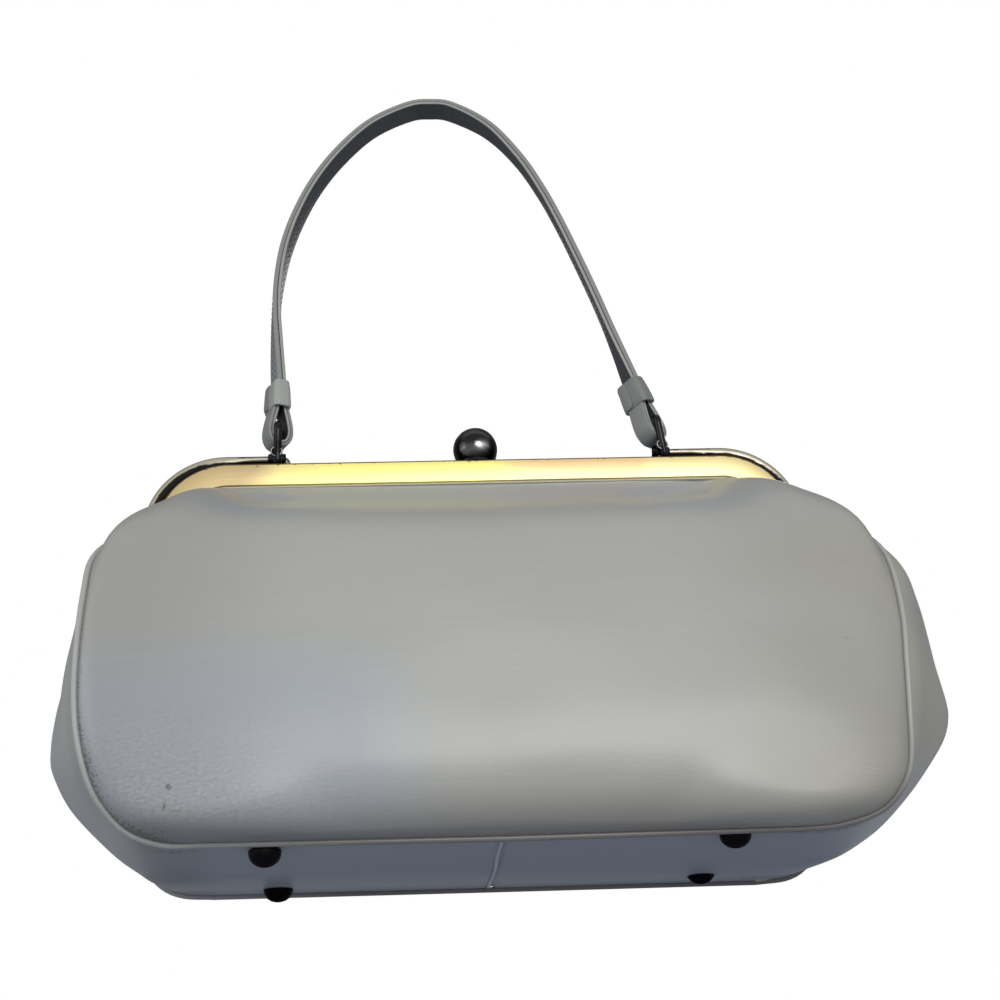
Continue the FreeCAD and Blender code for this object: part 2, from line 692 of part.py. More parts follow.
def make_gusset(label, hand):
    floor, thick = N["bag_floor"], N["leather"]
    reach = N["split"] - floor
    sections = []
    edge = thick + N["seam_gap"] * 1.6
    for share, wide, deep, ridge in BAG_LEVELS:
        z, half, depth = floor + share * reach, wide * N["bag_width"], deep * N["bag_depth"] - edge
        sections.append(gusset_section(z, half, depth, ridge * N["ridge"], thick, hand))
    _, wide, deep, _ = BAG_LEVELS[-1]
    half, depth = wide * 0.99 * N["bag_width"], deep * N["bag_depth"] * 0.9 - edge
    sections.append(gusset_section(N["gusset_top"], half, depth, GUSSET_END * N["ridge"], thick, hand))
    side_wall = Part.makeLoft(sections, True, False)
    low = BAG_LEVELS[0]
    depth = low[2] * N["bag_depth"] - edge
    length = low[1] * N["bag_width"] - N["seam_gap"] / 2
    base = Part.makeBox(length, depth * 2, thick, Vec(N["seam_gap"] / 2, -depth, floor))
    if hand < 0:
        base = base.mirror(Vec(0, 0, 0), Vec(1, 0, 0))
    body = side_wall.fuse(base)
    for fore in (-1, 1):
        at = Vec(hand * N["foot_x"], fore * N["foot_y"], floor - 1)
        body = body.cut(Part.makeCylinder(N["foot_stud"] + 0.05, thick + 2, at))
    return add_shape(label, body.removeSplitter())


make_gusset("gusset_left", -1)
make_gusset("gusset_right", 1)


# Piping: a round welt just outside the panel seam, down one side, along the bottom and up the other
def make_piping(label, side):
    radius = N["piping_radius"]
    out = radius + N["seam_gap"]
    levels = list(panel_levels(0, N["split"]))
    z_low, half_low, depth_low = levels[0]
    edge = [(z_low, half_low * share, depth_low) for share in (0.15, 0.3, 0.5, 0.7, 0.85, 0.95)] + levels
    half_path = []
    for i, (z, half, depth) in enumerate(edge):
        before, after = edge[max(i - 1, 0)], edge[min(i + 1, len(edge) - 1)]
        outward = Vec(after[0] - before[0], 0, before[1] - after[1]).normalize()
        half_path.append(Vec(half, side * (depth + out * 0.6), z) + outward * out)
    half_path.reverse()
    mirrored = [Vec(-p.x, p.y, p.z) for p in reversed(half_path)]
    curve = Part.BSplineCurve()
    curve.interpolate(Points=half_path + mirrored)
    steps = 44
    rings = []
    for i in range(steps + 1):
        t = curve.FirstParameter + (curve.LastParameter - curve.FirstParameter) * i / steps
        turn = FreeCAD.Rotation(Vec(0, 1, 0), Vec(), Vec(*curve.tangent(t)[0]), "ZXY")
        ring = Part.Circle(Vec(0, 0, 0), Vec(0, 0, 1), radius).toShape()
        ring.Placement = FreeCAD.Placement(curve.value(t), turn)
        rings.append(Part.Wire(ring))
    return add_shape(label, Part.makeLoft(rings, True, True))


make_piping("front_piping", -1)
make_piping("back_piping", 1)

# Bottom seam strip, under the joint of the two gussets
strip = doc.addObject("Part::Box", "bottom_seam_strip")
strip.Label = "bottom_seam_strip"
bind(strip, "Length", S["seam_strip"])
bind(strip, "Width", S["bag_depth"] * 1.8)
bind(strip, "Height", S["seam_strip_thick"])
bind(strip, "Placement.Base.x", -(S["seam_strip"] * 0.5))
bind(strip, "Placement.Base.y", -(S["bag_depth"] * 0.9))
bind(strip, "Placement.Base.z", S["bag_floor"] - S["seam_strip_thick"])

# Bottom board, resting on the gussets, with holes for the foot studs
board = new_body("bottom_board")
board_sketch = new_sketch(board, "BoardOutline", "XY_Plane", S["bag_floor"] + S["leather"])
board_x, board_y = S["board_half"], S["board_depth"]
draw_polygon(board_sketch, [(-board_x, -board_y), (board_x, -board_y), (board_x, board_y),
                            (-board_x, board_y)])
for hand in (-1, 1):
    for fore in (-1, 1):
        draw_circle(board_sketch, (S["foot_x"] * hand, S["foot_y"] * fore), S["foot_stud"] + 0.05)
pad(board, board_sketch, S["board_thick"], False)


# Feet: black domes with a stud through the leather and the board
def make_foot(label, hand, fore):
    body = new_body(label)
    sketch = new_sketch(body, "FootProfile", "XZ_Plane", 0)
    floor = S["bag_floor"]
    peak = floor + S["leather"] + S["board_thick"] + S["washer_thick"]
    wide, stud = S["foot_radius"], S["foot_stud"]
    points = [(0, 0), (S["foot_flat"], 0), (wide * 0.75, floor * 0.28), (wide, floor * 0.75), (wide, floor),
              (stud, floor), (stud, peak), (0, peak)]
    geos = draw_polygon(sketch, points)
    revolve(body, sketch, "Edge%d" % (geos[-1] + 1), 360, False)
    bind(body, "Placement.Base.x", S["foot_x"] * hand)
    bind(body, "Placement.Base.y", S["foot_y"] * fore)
    return body


def make_washer(label, hand, fore):
    body = new_body(label)
    sketch = new_sketch(body, "WasherFace", "XY_Plane", S["bag_floor"] + S["leather"] + S["board_thick"])
    draw_circle(sketch, (0, 0), S["washer_radius"])
    draw_circle(sketch, (0, 0), S["foot_stud"] + 0.05)
    pad(body, sketch, S["washer_thick"], False)
    bind(body, "Placement.Base.x", S["foot_x"] * hand)
    bind(body, "Placement.Base.y", S["foot_y"] * fore)
    return body


CORNERS = [("front_left", -1, -1), ("front_right", 1, -1), ("rear_left", -1, 1), ("rear_right", 1, 1)]
for place, hand, fore in CORNERS:
    make_foot("foot_" + place, hand, fore)
    make_washer("foot_washer_" + place, hand, fore)


# Lining: five cloth panels sewn into a pouch inside the leather, open at the top
lining_low = N["bag_floor"] + N["leather"] + N["board_thick"] + N["washer_thick"] + 0.3
lining_high = N["split"] - 4
lining_inset = N["leather"] + N["lining_gap"] + 1.5
cloth = N["lining"]


def lining_levels():
    floor = N["bag_floor"]
    for rise in (0, 0.07, 0.2, 0.42, 0.7, 1):
        z = lining_low + rise * (lining_high - lining_low)
        wide, deep, ridge = bag_level((z - floor) / (N["split"] - floor))
        half, depth = wide * N["bag_width"] - lining_inset, deep * N["bag_depth"] - lining_inset
        yield z, half, depth, ridge * N["ridge"]


def make_lining_wall(label, side):
    sections = []
    for z, half, depth, _ in lining_levels():
        points = [Vec(x, side * y, z) for x, y in ((-half, depth), (half, depth), (half, depth - cloth),
                                                   (-half, depth - cloth))]
        sections.append(Part.makePolygon(points + points[:1]))
    return add_shape(label, Part.makeLoft(sections, True, True))


def make_lining_side(label, hand):
    sections = []
    for z, half, depth, ridge in lining_levels():
        end = depth - cloth - N["seam_gap"]
        fold = ridge - lining_inset * 1.3
        points = [Vec(hand * x, y, z) for x, y in ((half, -end), (fold, 0), (half, end), (half - cloth, end),
                                                   (fold - cloth * 1.1, 0), (half - cloth, -end))]
        sections.append(Part.makePolygon(points + points[:1]))
    return add_shape(label, Part.makeLoft(sections, True, True))


make_lining_wall("lining_front", -1)
make_lining_wall("lining_back", 1)
make_lining_side("lining_left", -1)
make_lining_side("lining_right", 1)

# Lining floor, between the four walls and over the board
_, low_half, low_depth, _ = next(lining_levels())
floor_x = low_half - cloth - N["seam_gap"]
floor_y = low_depth - cloth - N["seam_gap"]
add_shape("lining_floor", Part.makeBox(floor_x * 2, floor_y * 2, cloth, Vec(-floor_x, -floor_y, lining_low)))

# Inner slip pocket, sewn flat on the back of the lining
pocket_sections = []
for step in range(4):
    z = N["pocket_low"] + (N["pocket_high"] - N["pocket_low"]) * step / 3
    deep = bag_level((z - N["bag_floor"]) / (N["split"] - N["bag_floor"]))[1]
    depth = deep * N["bag_depth"] - lining_inset - N["lining"] - 0.6
    points = [Vec(-N["pocket_half"], depth, z), Vec(N["pocket_half"], depth, z),
              Vec(N["pocket_half"], depth - N["lining"], z), Vec(-N["pocket_half"], depth - N["lining"], z)]
    pocket_sections.append(Part.makePolygon(points + points[:1]))
add_shape("inner_pocket", Part.makeLoft(pocket_sections, True, True))

# Checks on every object, then one file for each piece
doc.recompute()
pieces = [item for item in doc.Objects if item.TypeId in ("PartDesign::Body", "Part::Feature", "Part::Box")]
for item in doc.Objects:
    if "Invalid" in item.State or "Error" in item.State:
        raise RuntimeError("%s failed: %s" % (item.Name, item.State))
os.makedirs("parts", exist_ok=True)
for item in pieces:
    shape = item.Shape
    if not shape.isValid() or not shape.Solids or shape.Volume <= 0:
        raise RuntimeError("%s has no valid solid" % item.Label)
    shape.exportStep("parts/%s.step" % item.Label)
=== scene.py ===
import math

import bmesh
import bpy
import numpy as np
from mathutils import Matrix, Vector, noise


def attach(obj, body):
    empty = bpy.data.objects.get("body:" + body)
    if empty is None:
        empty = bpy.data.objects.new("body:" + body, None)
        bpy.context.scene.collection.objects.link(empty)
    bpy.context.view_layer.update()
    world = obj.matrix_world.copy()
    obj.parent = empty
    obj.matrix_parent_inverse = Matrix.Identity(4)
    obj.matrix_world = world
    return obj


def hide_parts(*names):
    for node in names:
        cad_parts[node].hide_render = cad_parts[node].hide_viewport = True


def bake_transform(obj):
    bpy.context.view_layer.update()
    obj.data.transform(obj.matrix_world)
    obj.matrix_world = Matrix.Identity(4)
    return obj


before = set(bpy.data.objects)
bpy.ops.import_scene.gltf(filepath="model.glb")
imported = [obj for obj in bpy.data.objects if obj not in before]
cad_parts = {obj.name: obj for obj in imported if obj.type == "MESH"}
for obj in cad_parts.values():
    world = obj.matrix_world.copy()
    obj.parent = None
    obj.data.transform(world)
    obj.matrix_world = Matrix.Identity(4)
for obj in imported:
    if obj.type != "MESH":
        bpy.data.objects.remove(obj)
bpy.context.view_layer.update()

# Front and back panel: each one piece of smooth grey calf, moulded full and rounded, closed by a
# piped seam round its sides and foot. Its upper edge is gathered over the shoulders and clamped
# in the channel of its frame rail, with a soft valley below the rail.
MM = 0.001
LEATHER = 1.6
PANEL_ROWS = 73
HALF_COLUMNS = 60
RAIL_LINE = 145.6
RAIL_INNER = 109.0
RAIL_CORNER = 17.0
LEG_END = 119.5
PANELS = ((-1, "front"), (1, "back"))
# Forward and up of the panel's foot in the middle, front (-1) and back (1)
FOOT_MIDDLE = {-1: (36.0, 5.0), 1: (41.8, 3.8)}
# Seam of the front panel at each side from its foot to the hinge, as out, forward and up; the bag sags
# to the right
FRONT_SEAM = {
    1: [(94.7, 36, 4.4), (107, 36.3, 4.9), (119.9, 38, 8.1), (127.4, 40.4, 14.2), (131.6, 42.8, 23.2),
        (133.6, 44.8, 41), (135.3, 44.8, 56), (137.2, 43.8, 72), (138, 39.5, 90.5), (136.6, 34, 102),
        (132.4, 26, 110.6), (124, 15, 117.6), (112.5, 6, LEG_END)],
    -1: [(94.4, 36, 6.7), (105, 36.4, 6.9), (115.2, 38, 10.1), (122.2, 39.9, 16.2), (127.7, 42.2, 25),
         (131.7, 44.2, 38.7), (133.6, 44.8, 54), (133.9, 44.2, 72), (133.4, 41.4, 90),
         (132.6, 36.6, 102.6), (128, 28.8, 111.8), (120, 16, 118.4), (112.5, 6, LEG_END)],
}
BACK_SEAM = [(98, 41.8, 3.8), (110, 42.2, 5.0), (118, 43, 9.6), (125, 44, 19.5), (130, 44.6, 34),
             (132.6, 44.8, 52), (132.8, 44.6, 70), (132.2, 43.4, 85), (131, 40, 95.5),
             (128.6, 34.6, 103), (121, 21, 113.6), (114.6, 9.6, 119), (112.5, 6, LEG_END)]
# How far the rear foot is tucked in and up at each side
REAR_TUCK = {-1: 1.3, 1: -1.2}
SHOULDER_RISE, SHOULDER_SPREAD = 3.4, 1.2
# Forward reach by height: the low part of front and back, where the front rolls in under itself, then the
# upper part along the middle and beside the shoulders
LOW_FORM = {
    -1: [(5.0, 36.0), (5.5, 39.2), (6.3, 41.8), (8, 43.8), (10.5, 46.0), (14, 47.9), (18.5, 49.4),
         (24, 50.5), (31, 51.0), (42, 50.8), (58, 49.6), (76, 47.9)],
    1: [(3.8, 41.6), (8, 44.0), (13, 45.8), (20, 47.5), (30, 48.7), (42, 49.0), (60, 48.7), (78, 47.8)],
}
MIDDLE_FORM = [(92, 45.6), (104, 41.8), (114, 36.2), (122, 29), (129, 20.6), (135, 13.8), (139.4, 9.4),
               (142.2, 7.0), (145.6, 4.6)]
SHOULDER_FORM = [(92, 46.0), (104, 43.0), (114, 39.4), (122, 35.2), (129, 29.8), (135, 23.2),
                 (139.4, 15.4), (142.2, 8.8), (145.6, 4.6)]
# Soft folds below the rail, across the panel and up: start, end, width, depth
CREASES = [((-94, 140), (-70, 130), 4.0, 2.6), ((90, 139), (52, 128), 5.0, 2.8),
           ((-62, 131), (44, 130), 7.0, 1.0), ((100, 120), (118, 104), 8.0, 0.8)]
# Lift of the back panel's foot edge, which keeps it behind the piping
BACK_LIFT = 0.8
LEATHER_GREY = (0.358, 0.364, 0.340)
# Tints of the hide: the cool one is painted shade, also used for random patches; the warm one is painted
# light
LEATHER_COOL_SHADE = (0.330, 0.355, 0.385)
LEATHER_WARM_LIT = (0.350, 0.338, 0.285)
# Colour of grime and scuffs, and of a painted shadow under the right piping
LEATHER_GRIME_AND_SHADOW = (0.10, 0.10, 0.10)
# Colour of painted shade along the foot, the sides and below the rail, partly soiling at the foot
LEATHER_SHADE_AND_SOIL = (0.145, 0.140, 0.135)


class Tone:
    """A shader value. Arithmetic on it adds Math nodes; node() adds any other kind."""

    def __init__(self, tree, socket=None):
        self.tree = tree
        self.socket = socket

    def node(self, kind, settings, sockets, output=0):
        made = self.tree.nodes.new(kind)
        for name, value in settings.items():
            setattr(made, name, value)
        for name, value in sockets.items():
            self.feed(made.inputs[name], value)
        return Tone(self.tree, made.outputs[output])

    def feed(self, target, value):
        if isinstance(value, Tone):
            self.tree.links.new(value.socket, target)
        elif target.type == "RGBA" and len(value) == 3:
            target.default_value = (*value, 1)
        else:
            target.default_value = value

    def maths(self, operation, *values):
        return self.node("ShaderNodeMath", {"operation": operation}, dict(enumerate(values)))

    def __add__(self, other):
        return self.maths("ADD", self, other)

    def __radd__(self, other):
        return self.maths("ADD", other, self)

    def __sub__(self, other):
        return self.maths("SUBTRACT", self, other)

    def __rsub__(self, other):
        return self.maths("SUBTRACT", other, self)

    def __mul__(self, other):
        return self.maths("MULTIPLY", self, other)

    def __rmul__(self, other):
        return self.maths("MULTIPLY", other, self)

    def __truediv__(self, other):
        return self.maths("DIVIDE", self, other)

    def __rtruediv__(self, other):
        return self.maths("DIVIDE", other, self)

    def __pow__(self, other):
        return self.maths("POWER", self, other)

    def __rpow__(self, other):
        return self.maths("POWER", other, self)

    def ease(self, low, high):
        """0 below the low value, 1 above the high one, smooth between; the two may be swapped."""
        sockets = {"Value": self, "From Min": low, "From Max": high}
        return self.node("ShaderNodeMapRange", {"interpolation_type": "SMOOTHSTEP"}, sockets)

    def between(self, first, second):
        """Colour that goes from the first to the second with this value."""
        return self.node("ShaderNodeMix", {"data_type": "RGBA"}, {0: self, 6: first, 7: second}, 2)

    def times(self, factors):
        """This vector, stretched along its axes."""
        return self.node("ShaderNodeVectorMath", {"operation": "MULTIPLY"}, {0: self, 1: factors})

    def from_point(self, point):
        """Distance of this vector from a point."""
        return self.node("ShaderNodeVectorMath", {"operation": "DISTANCE"}, {0: self, 1: point}, 1)

    def speckle(self, scale, detail=2.0, roughness=0.5):
        """Soft noise between 0 and 1 over this vector."""
        return self.node("ShaderNodeTexNoise", {}, {"Vector": self, "Scale": scale, "Detail": detail,
                                                    "Roughness": roughness})

    def relief(self, depth):
        """Normal of a surface with this height, the depth in metres for a height of 1."""
        return self.node("ShaderNodeBump", {}, {"Height": self, "Distance": depth, "Strength": 1.0})

    def cut_map(self):
        """Place on a piece as it was cut flat, in metres."""
        return self.node("ShaderNodeUVMap", {"uv_map": "cut"}, {})

    def place(self):
        """Place in the piece's own space, in metres."""
        return self.node("ShaderNodeTexCoord", {}, {}, 3)

    def painted(self, name):
        """Number painted on the piece's points."""
        return self.node("ShaderNodeAttribute", {"attribute_name": name}, {}, 2)


def new_finish(name):
    """An empty material with its shader; returns the material, its shader node and a Tone to start from."""
    material = bpy.data.materials.new(name)
    material.use_nodes = True
    shader = material.node_tree.nodes["Principled BSDF"]
    return material, shader, Tone(material.node_tree)


def set_shader(shader, tone, **values):
    """Fill shader sockets, named with _ for each space."""
    for name, value in values.items():
        tone.feed(shader.inputs[name.replace("_", " ")], value)


def leather_finish(name, marks=(), painted_light_gain=1.0):
    """Finished calf: hairlines, pores, slow shifts of grey, grime where the hide is rubbed, and painted
    light and shade.
    """
    material, shader, tone = new_finish(name)
    cut = tone.cut_map()
    worn = tone.painted("worn")
    cool = tone.painted("cool")
    grime_and_shade = tone.painted("grime_and_shade")
    shade_and_soil = tone.painted("shade_and_soil")
    hairs = cut.times((38, 1050, 1)).speckle(1.0, 3.0, 0.6)
    pores = cut.speckle(1700, 1.0)
    patches = cut.speckle(9, 2.0)
    grit = cut.times((1, 1.6, 1)).speckle(560, 4.0, 0.7)
    # Grime shows as dark specks; a painted shadow under the right piping comes in the same way
    dirt_and_shadow = (grit + grime_and_shade * 0.30).ease(0.64, 0.80) * grime_and_shade.ease(0.05, 0.6)
    for number, (place, reach, tilt, strength) in enumerate(marks):
        turned = cut.node("ShaderNodeVectorRotate", {"rotation_type": "Z_AXIS"},
                          {"Vector": cut, "Center": (*place, 0), "Angle": tilt})
        share = (1 / reach[0], 1 / reach[1], 1)
        off = turned.times(share).from_point((place[0] * share[0], place[1] * share[1], 0))
        scratch = (off + (cut.speckle(1100 + 130 * number, 4.0, 0.7) - 0.5) * 2.6).ease(0.9, 0.3)
        dirt_and_shadow = tone.maths("MAXIMUM", dirt_and_shadow, scratch * strength)
    # Painted light tint: the painted number cools the grey as painted shade where positive and warms it as
    # painted light where negative; random patches cool it a little too
    grey = (cool * -1.0).ease(0.0, 1.0).between(LEATHER_GREY, LEATHER_WARM_LIT)
    grey = (patches.ease(0.35, 0.7) * 0.25 + cool.ease(0.0, 1.0) * 0.85).between(grey, LEATHER_COOL_SHADE)
    mottle = 0.5 + (hairs - 0.5) * 0.26 + (grit - 0.5) * (0.14 + worn * 2.2)
    # The gain lightens the whole hide: painted light
    shade = mottle.between((0.76 * painted_light_gain, 0.76 * painted_light_gain, 0.755 * painted_light_gain),
                           (1.22 * painted_light_gain, 1.22 * painted_light_gain, 1.22 * painted_light_gain))
    toned = tone.node("ShaderNodeMix", {"data_type": "RGBA", "blend_type": "MULTIPLY"},
                      {0: 1.0, 6: grey, 7: shade}, 2)
    # Painted shade, partly soiling at the foot: the hide darkens where the painted number is high
    toned = shade_and_soil.between(toned, LEATHER_SHADE_AND_SOIL)
    colour = (dirt_and_shadow * 0.8).between(toned, LEATHER_GRIME_AND_SHADOW)
    shine = 0.33 + (hairs - 0.5) * 0.10 + patches * 0.06 + dirt_and_shadow * 0.2 + worn * 0.14
    skin = hairs * 0.5 + pores * 0.5 + grit * worn * 1.5 - dirt_and_shadow * 0.6
    set_shader(shader, tone, Base_Color=colour, Roughness=shine, Normal=skin.relief(0.00006),
               Coat_Weight=0.22, Coat_Roughness=0.22, Specular_IOR_Level=0.45)
    return material


def run_along(line):
    """Length along a line at each of its points."""
    return np.concatenate([[0], np.cumsum(np.linalg.norm(np.diff(line, axis=0), axis=1))])


def directions(path):
    """Unit direction along a path at each of its points."""
    ahead = np.gradient(path, axis=0)
    return ahead / np.linalg.norm(ahead, axis=1)[:, None]


def smooth_line(points, count):
    """Even points along a smooth line through the given ones."""
    held = np.array(points, float)
    held = np.vstack([2 * held[0] - held[1], held, 2 * held[-1] - held[-2]])
    t = np.linspace(0, 1, 24, endpoint=False)[:, None]
    pieces = []
    for a, b, c, d in zip(held, held[1:], held[2:], held[3:]):
        pieces.append(0.5 * (2 * b + (c - a) * t + (2 * a - 5 * b + 4 * c - d) * t ** 2
                             + (3 * b - a - 3 * c + d) * t ** 3))
    line = np.vstack(pieces + [held[-2:-1]])
    run = run_along(line)
    at = np.linspace(0, run[-1], count)
    return np.stack([np.interp(at, run, axis) for axis in line.T], 1)


def smooth_value(points, at):
    """Value at each place on a smooth line through (place, value) points."""
    line = smooth_line(points, 600)
    return np.interp(at, line[:, 0], line[:, 1])


def ease(value, low, high):
    """0 below the low value, 1 above the high one, smooth between."""
    t = np.clip((np.asarray(value, float) - low) / (high - low), 0, 1)
    return t * t * (3 - 2 * t)


def seam_line(hand, side):
    """Seam of one side in rows of the panel, at the back tucked under a little at the foot."""
    if side < 0:
        return smooth_line(FRONT_SEAM[hand], PANEL_ROWS)
    line = smooth_line(BACK_SEAM, PANEL_ROWS)
    low = ease(line[:, 2], 34, 5)
    line[:, 1] -= REAR_TUCK[hand] * low
    line[:, 2] += REAR_TUCK[hand] * low
    return line


def rail_line(count):
    """Lower edge of the rail from the middle round the corner to the foot of its leg: out and up."""
    flat, arc, leg = RAIL_INNER - RAIL_CORNER, RAIL_CORNER * math.pi / 2, RAIL_LINE - RAIL_CORNER - LEG_END
    run = np.linspace(0, flat + arc + leg, count)
    turn = np.clip((run - flat) / RAIL_CORNER, 0, math.pi / 2)
    out = np.minimum(run, flat) + RAIL_CORNER * np.sin(turn)
    up = RAIL_LINE - RAIL_CORNER * (1 - np.cos(turn)) - np.maximum(run - flat - arc, 0)
    return np.stack([out + 3.5 * ease(run, flat + arc * 0.8, flat + arc + leg), up], 1)


def crease(out, up, start, end, width, depth):
    """Depth of a soft fold along a line on the panel, fading to its ends."""
    a, b = np.array(start, float), np.array(end, float)
    along = b - a
    share = ((out - a[0]) * along[0] + (up - a[1]) * along[1]) / (along @ along)
    off = np.hypot(out - a[0] - share * along[0], up - a[1] - share * along[1])
    fade = ease(share, -0.25, 0.25) * ease(share, 1.25, 0.7)
    return depth * np.exp(-(off / width) ** 2) * fade


def panel_half(hand, side):
    """Half a panel, rows from foot to rail, columns from the middle out: its out, forward and up."""
    across = np.linspace(0, 1, HALF_COLUMNS)[None, :]
    rise = np.linspace(0, 1, PANEL_ROWS)[:, None]
    seam = seam_line(hand, side)
    rail = rail_line(HALF_COLUMNS)
    top_pull = rise ** 4
    foot = FOOT_MIDDLE[side][1]
    middle_up = foot + (RAIL_LINE - foot) * rise
    out = across * seam[:, 0:1] + top_pull * (rail[None, :, 0] - across * rail[-1, 0])
    level = RAIL_LINE + (LEG_END - RAIL_LINE) * across
    up = (1 - across) * middle_up + across * seam[:, 2:3] + top_pull * (rail[None, :, 1] - level)
    height = middle_up + (up - middle_up) * ease(rise, 0.55, 0.25)
    height = height - across * (seam[0, 2] - foot) * ease(height, 60, 20)
    height = height + (height - foot) * 2.4 * ease(across, 0.45, 0.85) * ease(height, 34, 10)
    to_shoulder = ease(across, 0.60, 0.84)
    forward = ((1 - to_shoulder) * smooth_value(LOW_FORM[side] + MIDDLE_FORM, height)
               + to_shoulder * smooth_value(LOW_FORM[side] + SHOULDER_FORM, height))
    at_seam = across ** 26
    forward = forward * (1 - at_seam) + seam[:, 1:2] * at_seam
    puff = np.exp(-((across - 0.945) / 0.07) ** 2) * ease(1 - across, 0, 0.05)
    puff = puff * ease(rise, 0.60, 0.78) * ease(rise, 1.0, 0.93)
    return out + SHOULDER_SPREAD * puff, forward, up + SHOULDER_RISE * puff


def panel_grid(side):
    """Whole panel as a grid of points in millimetres; side is -1 for the front and 1 for the back."""
    halves = {hand: panel_half(hand, side) for hand in (-1, 1)}
    out = np.hstack([-halves[-1][0][:, :0:-1], halves[1][0]])
    forward = np.hstack([halves[-1][1][:, :0:-1], halves[1][1]])
    up = np.hstack([halves[-1][2][:, :0:-1], halves[1][2]])
    for start, end, width, depth in CREASES:
        forward = forward - crease(out, up, start, end, width, depth)
    calm = ease(np.abs(out) / 135, 1.0, 0.86) * ease(up, 8, 26) * ease(up, 142, 128)
    slack = np.array([[noise.noise(Vector((x / 46, z / 34, 4.0 * side))) for x, z in zip(*row)]
                      for row in zip(out, up)])
    forward = forward + slack * 0.9 * calm
    if side > 0:
        up = up + BACK_LIFT * ease(up, 6, 2.6)
    return np.stack([out, side * forward, up], 2)


def mesh_piece(name, points, faces, places):
    """Piece from points in millimetres and faces; its cut map holds their places on the flat cut."""
    mesh = bpy.data.meshes.new(name)
    mesh.from_pydata((points.reshape(-1, 3) * MM).tolist(), [], faces)
    layer = mesh.uv_layers.new(name="cut")
    corners = np.empty(len(mesh.loops), int)
    mesh.loops.foreach_get("vertex_index", corners)
    layer.uv.foreach_set("vector", (places.reshape(-1, 2) * MM)[corners].astype(np.float32).ravel())
    piece = bpy.data.objects.new(name, mesh)
    bpy.context.scene.collection.objects.link(piece)
    return piece


def sheet_piece(name, grid, outward, thick, dense=0):
    """Piece over a grid of points in millimetres, its faces turned outward and thickened inward."""
    rows, columns, _ = grid.shape
    order = np.arange(rows * columns).reshape(rows, columns)
    quads = np.stack([order[:-1, :-1], order[:-1, 1:], order[1:, 1:], order[1:, :-1]], 2).reshape(-1, 4)
    middle = grid[rows // 2, columns // 2]
    facing = np.cross(grid[rows // 2, columns // 2 + 1] - middle,
                      grid[rows // 2 + 1, columns // 2] - middle)
    if facing @ np.array(outward, float) < 0:
        quads = quads[:, ::-1]
    along = np.cumsum(np.linalg.norm(np.diff(grid, axis=1, prepend=grid[:, :1]), axis=2), 1)
    along = along - along[:, columns // 2:columns // 2 + 1]
    upward = np.cumsum(np.linalg.norm(np.diff(grid, axis=0, prepend=grid[:1]), axis=2), 0)
    piece = mesh_piece(name, grid, quads.tolist(), np.stack([along, upward], 2))
    solid = piece.modifiers.new("thickness", "SOLIDIFY")
    solid.thickness = thick * MM
    solid.offset = -1
    solid.edge_crease_rim = 1.0
    solid.edge_crease_outer = 1.0
    solid.edge_crease_inner = 1.0
    if dense:
        piece.modifiers.new("smoothing", "SUBSURF").levels = dense
    return piece


def paint(piece, name, values):
    """Store one number for each vertex, which the finish reads."""
    layer = piece.data.attributes.new(name, "FLOAT", "POINT")
    layer.data.foreach_set("value", np.asarray(values, np.float32).ravel())


def settle(piece, sharp=40.0):
    """Make the piece's modifiers real and shade it smooth, with edges kept where it turns sharply."""
    bpy.context.view_layer.update()
    made = piece.evaluated_get(bpy.context.evaluated_depsgraph_get())
    mesh = bpy.data.meshes.new_from_object(made)
    mesh.name = piece.name
    piece.modifiers.clear()
    piece.data = mesh
    mesh.shade_smooth()
    mesh.set_sharp_from_angle(angle=math.radians(sharp))


def dress(piece, material, slot, *nodes):
    """Give a piece its finish and hide the CAD nodes it stands for."""
    piece.data.materials.clear()
    piece.data.materials.append(material)
    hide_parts(*nodes)


def bend_with(piece):
    """Bake the piece's place into its mesh."""
    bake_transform(piece)


def paint_wear_and_light(piece, worn, cool, grime_and_shade):
    """Wear, a painted light tint and grime, with painted shadow in the grime, of the hide at each point."""
    paint(piece, "worn", worn)
    paint(piece, "cool", cool)
    paint(piece, "grime_and_shade", grime_and_shade)


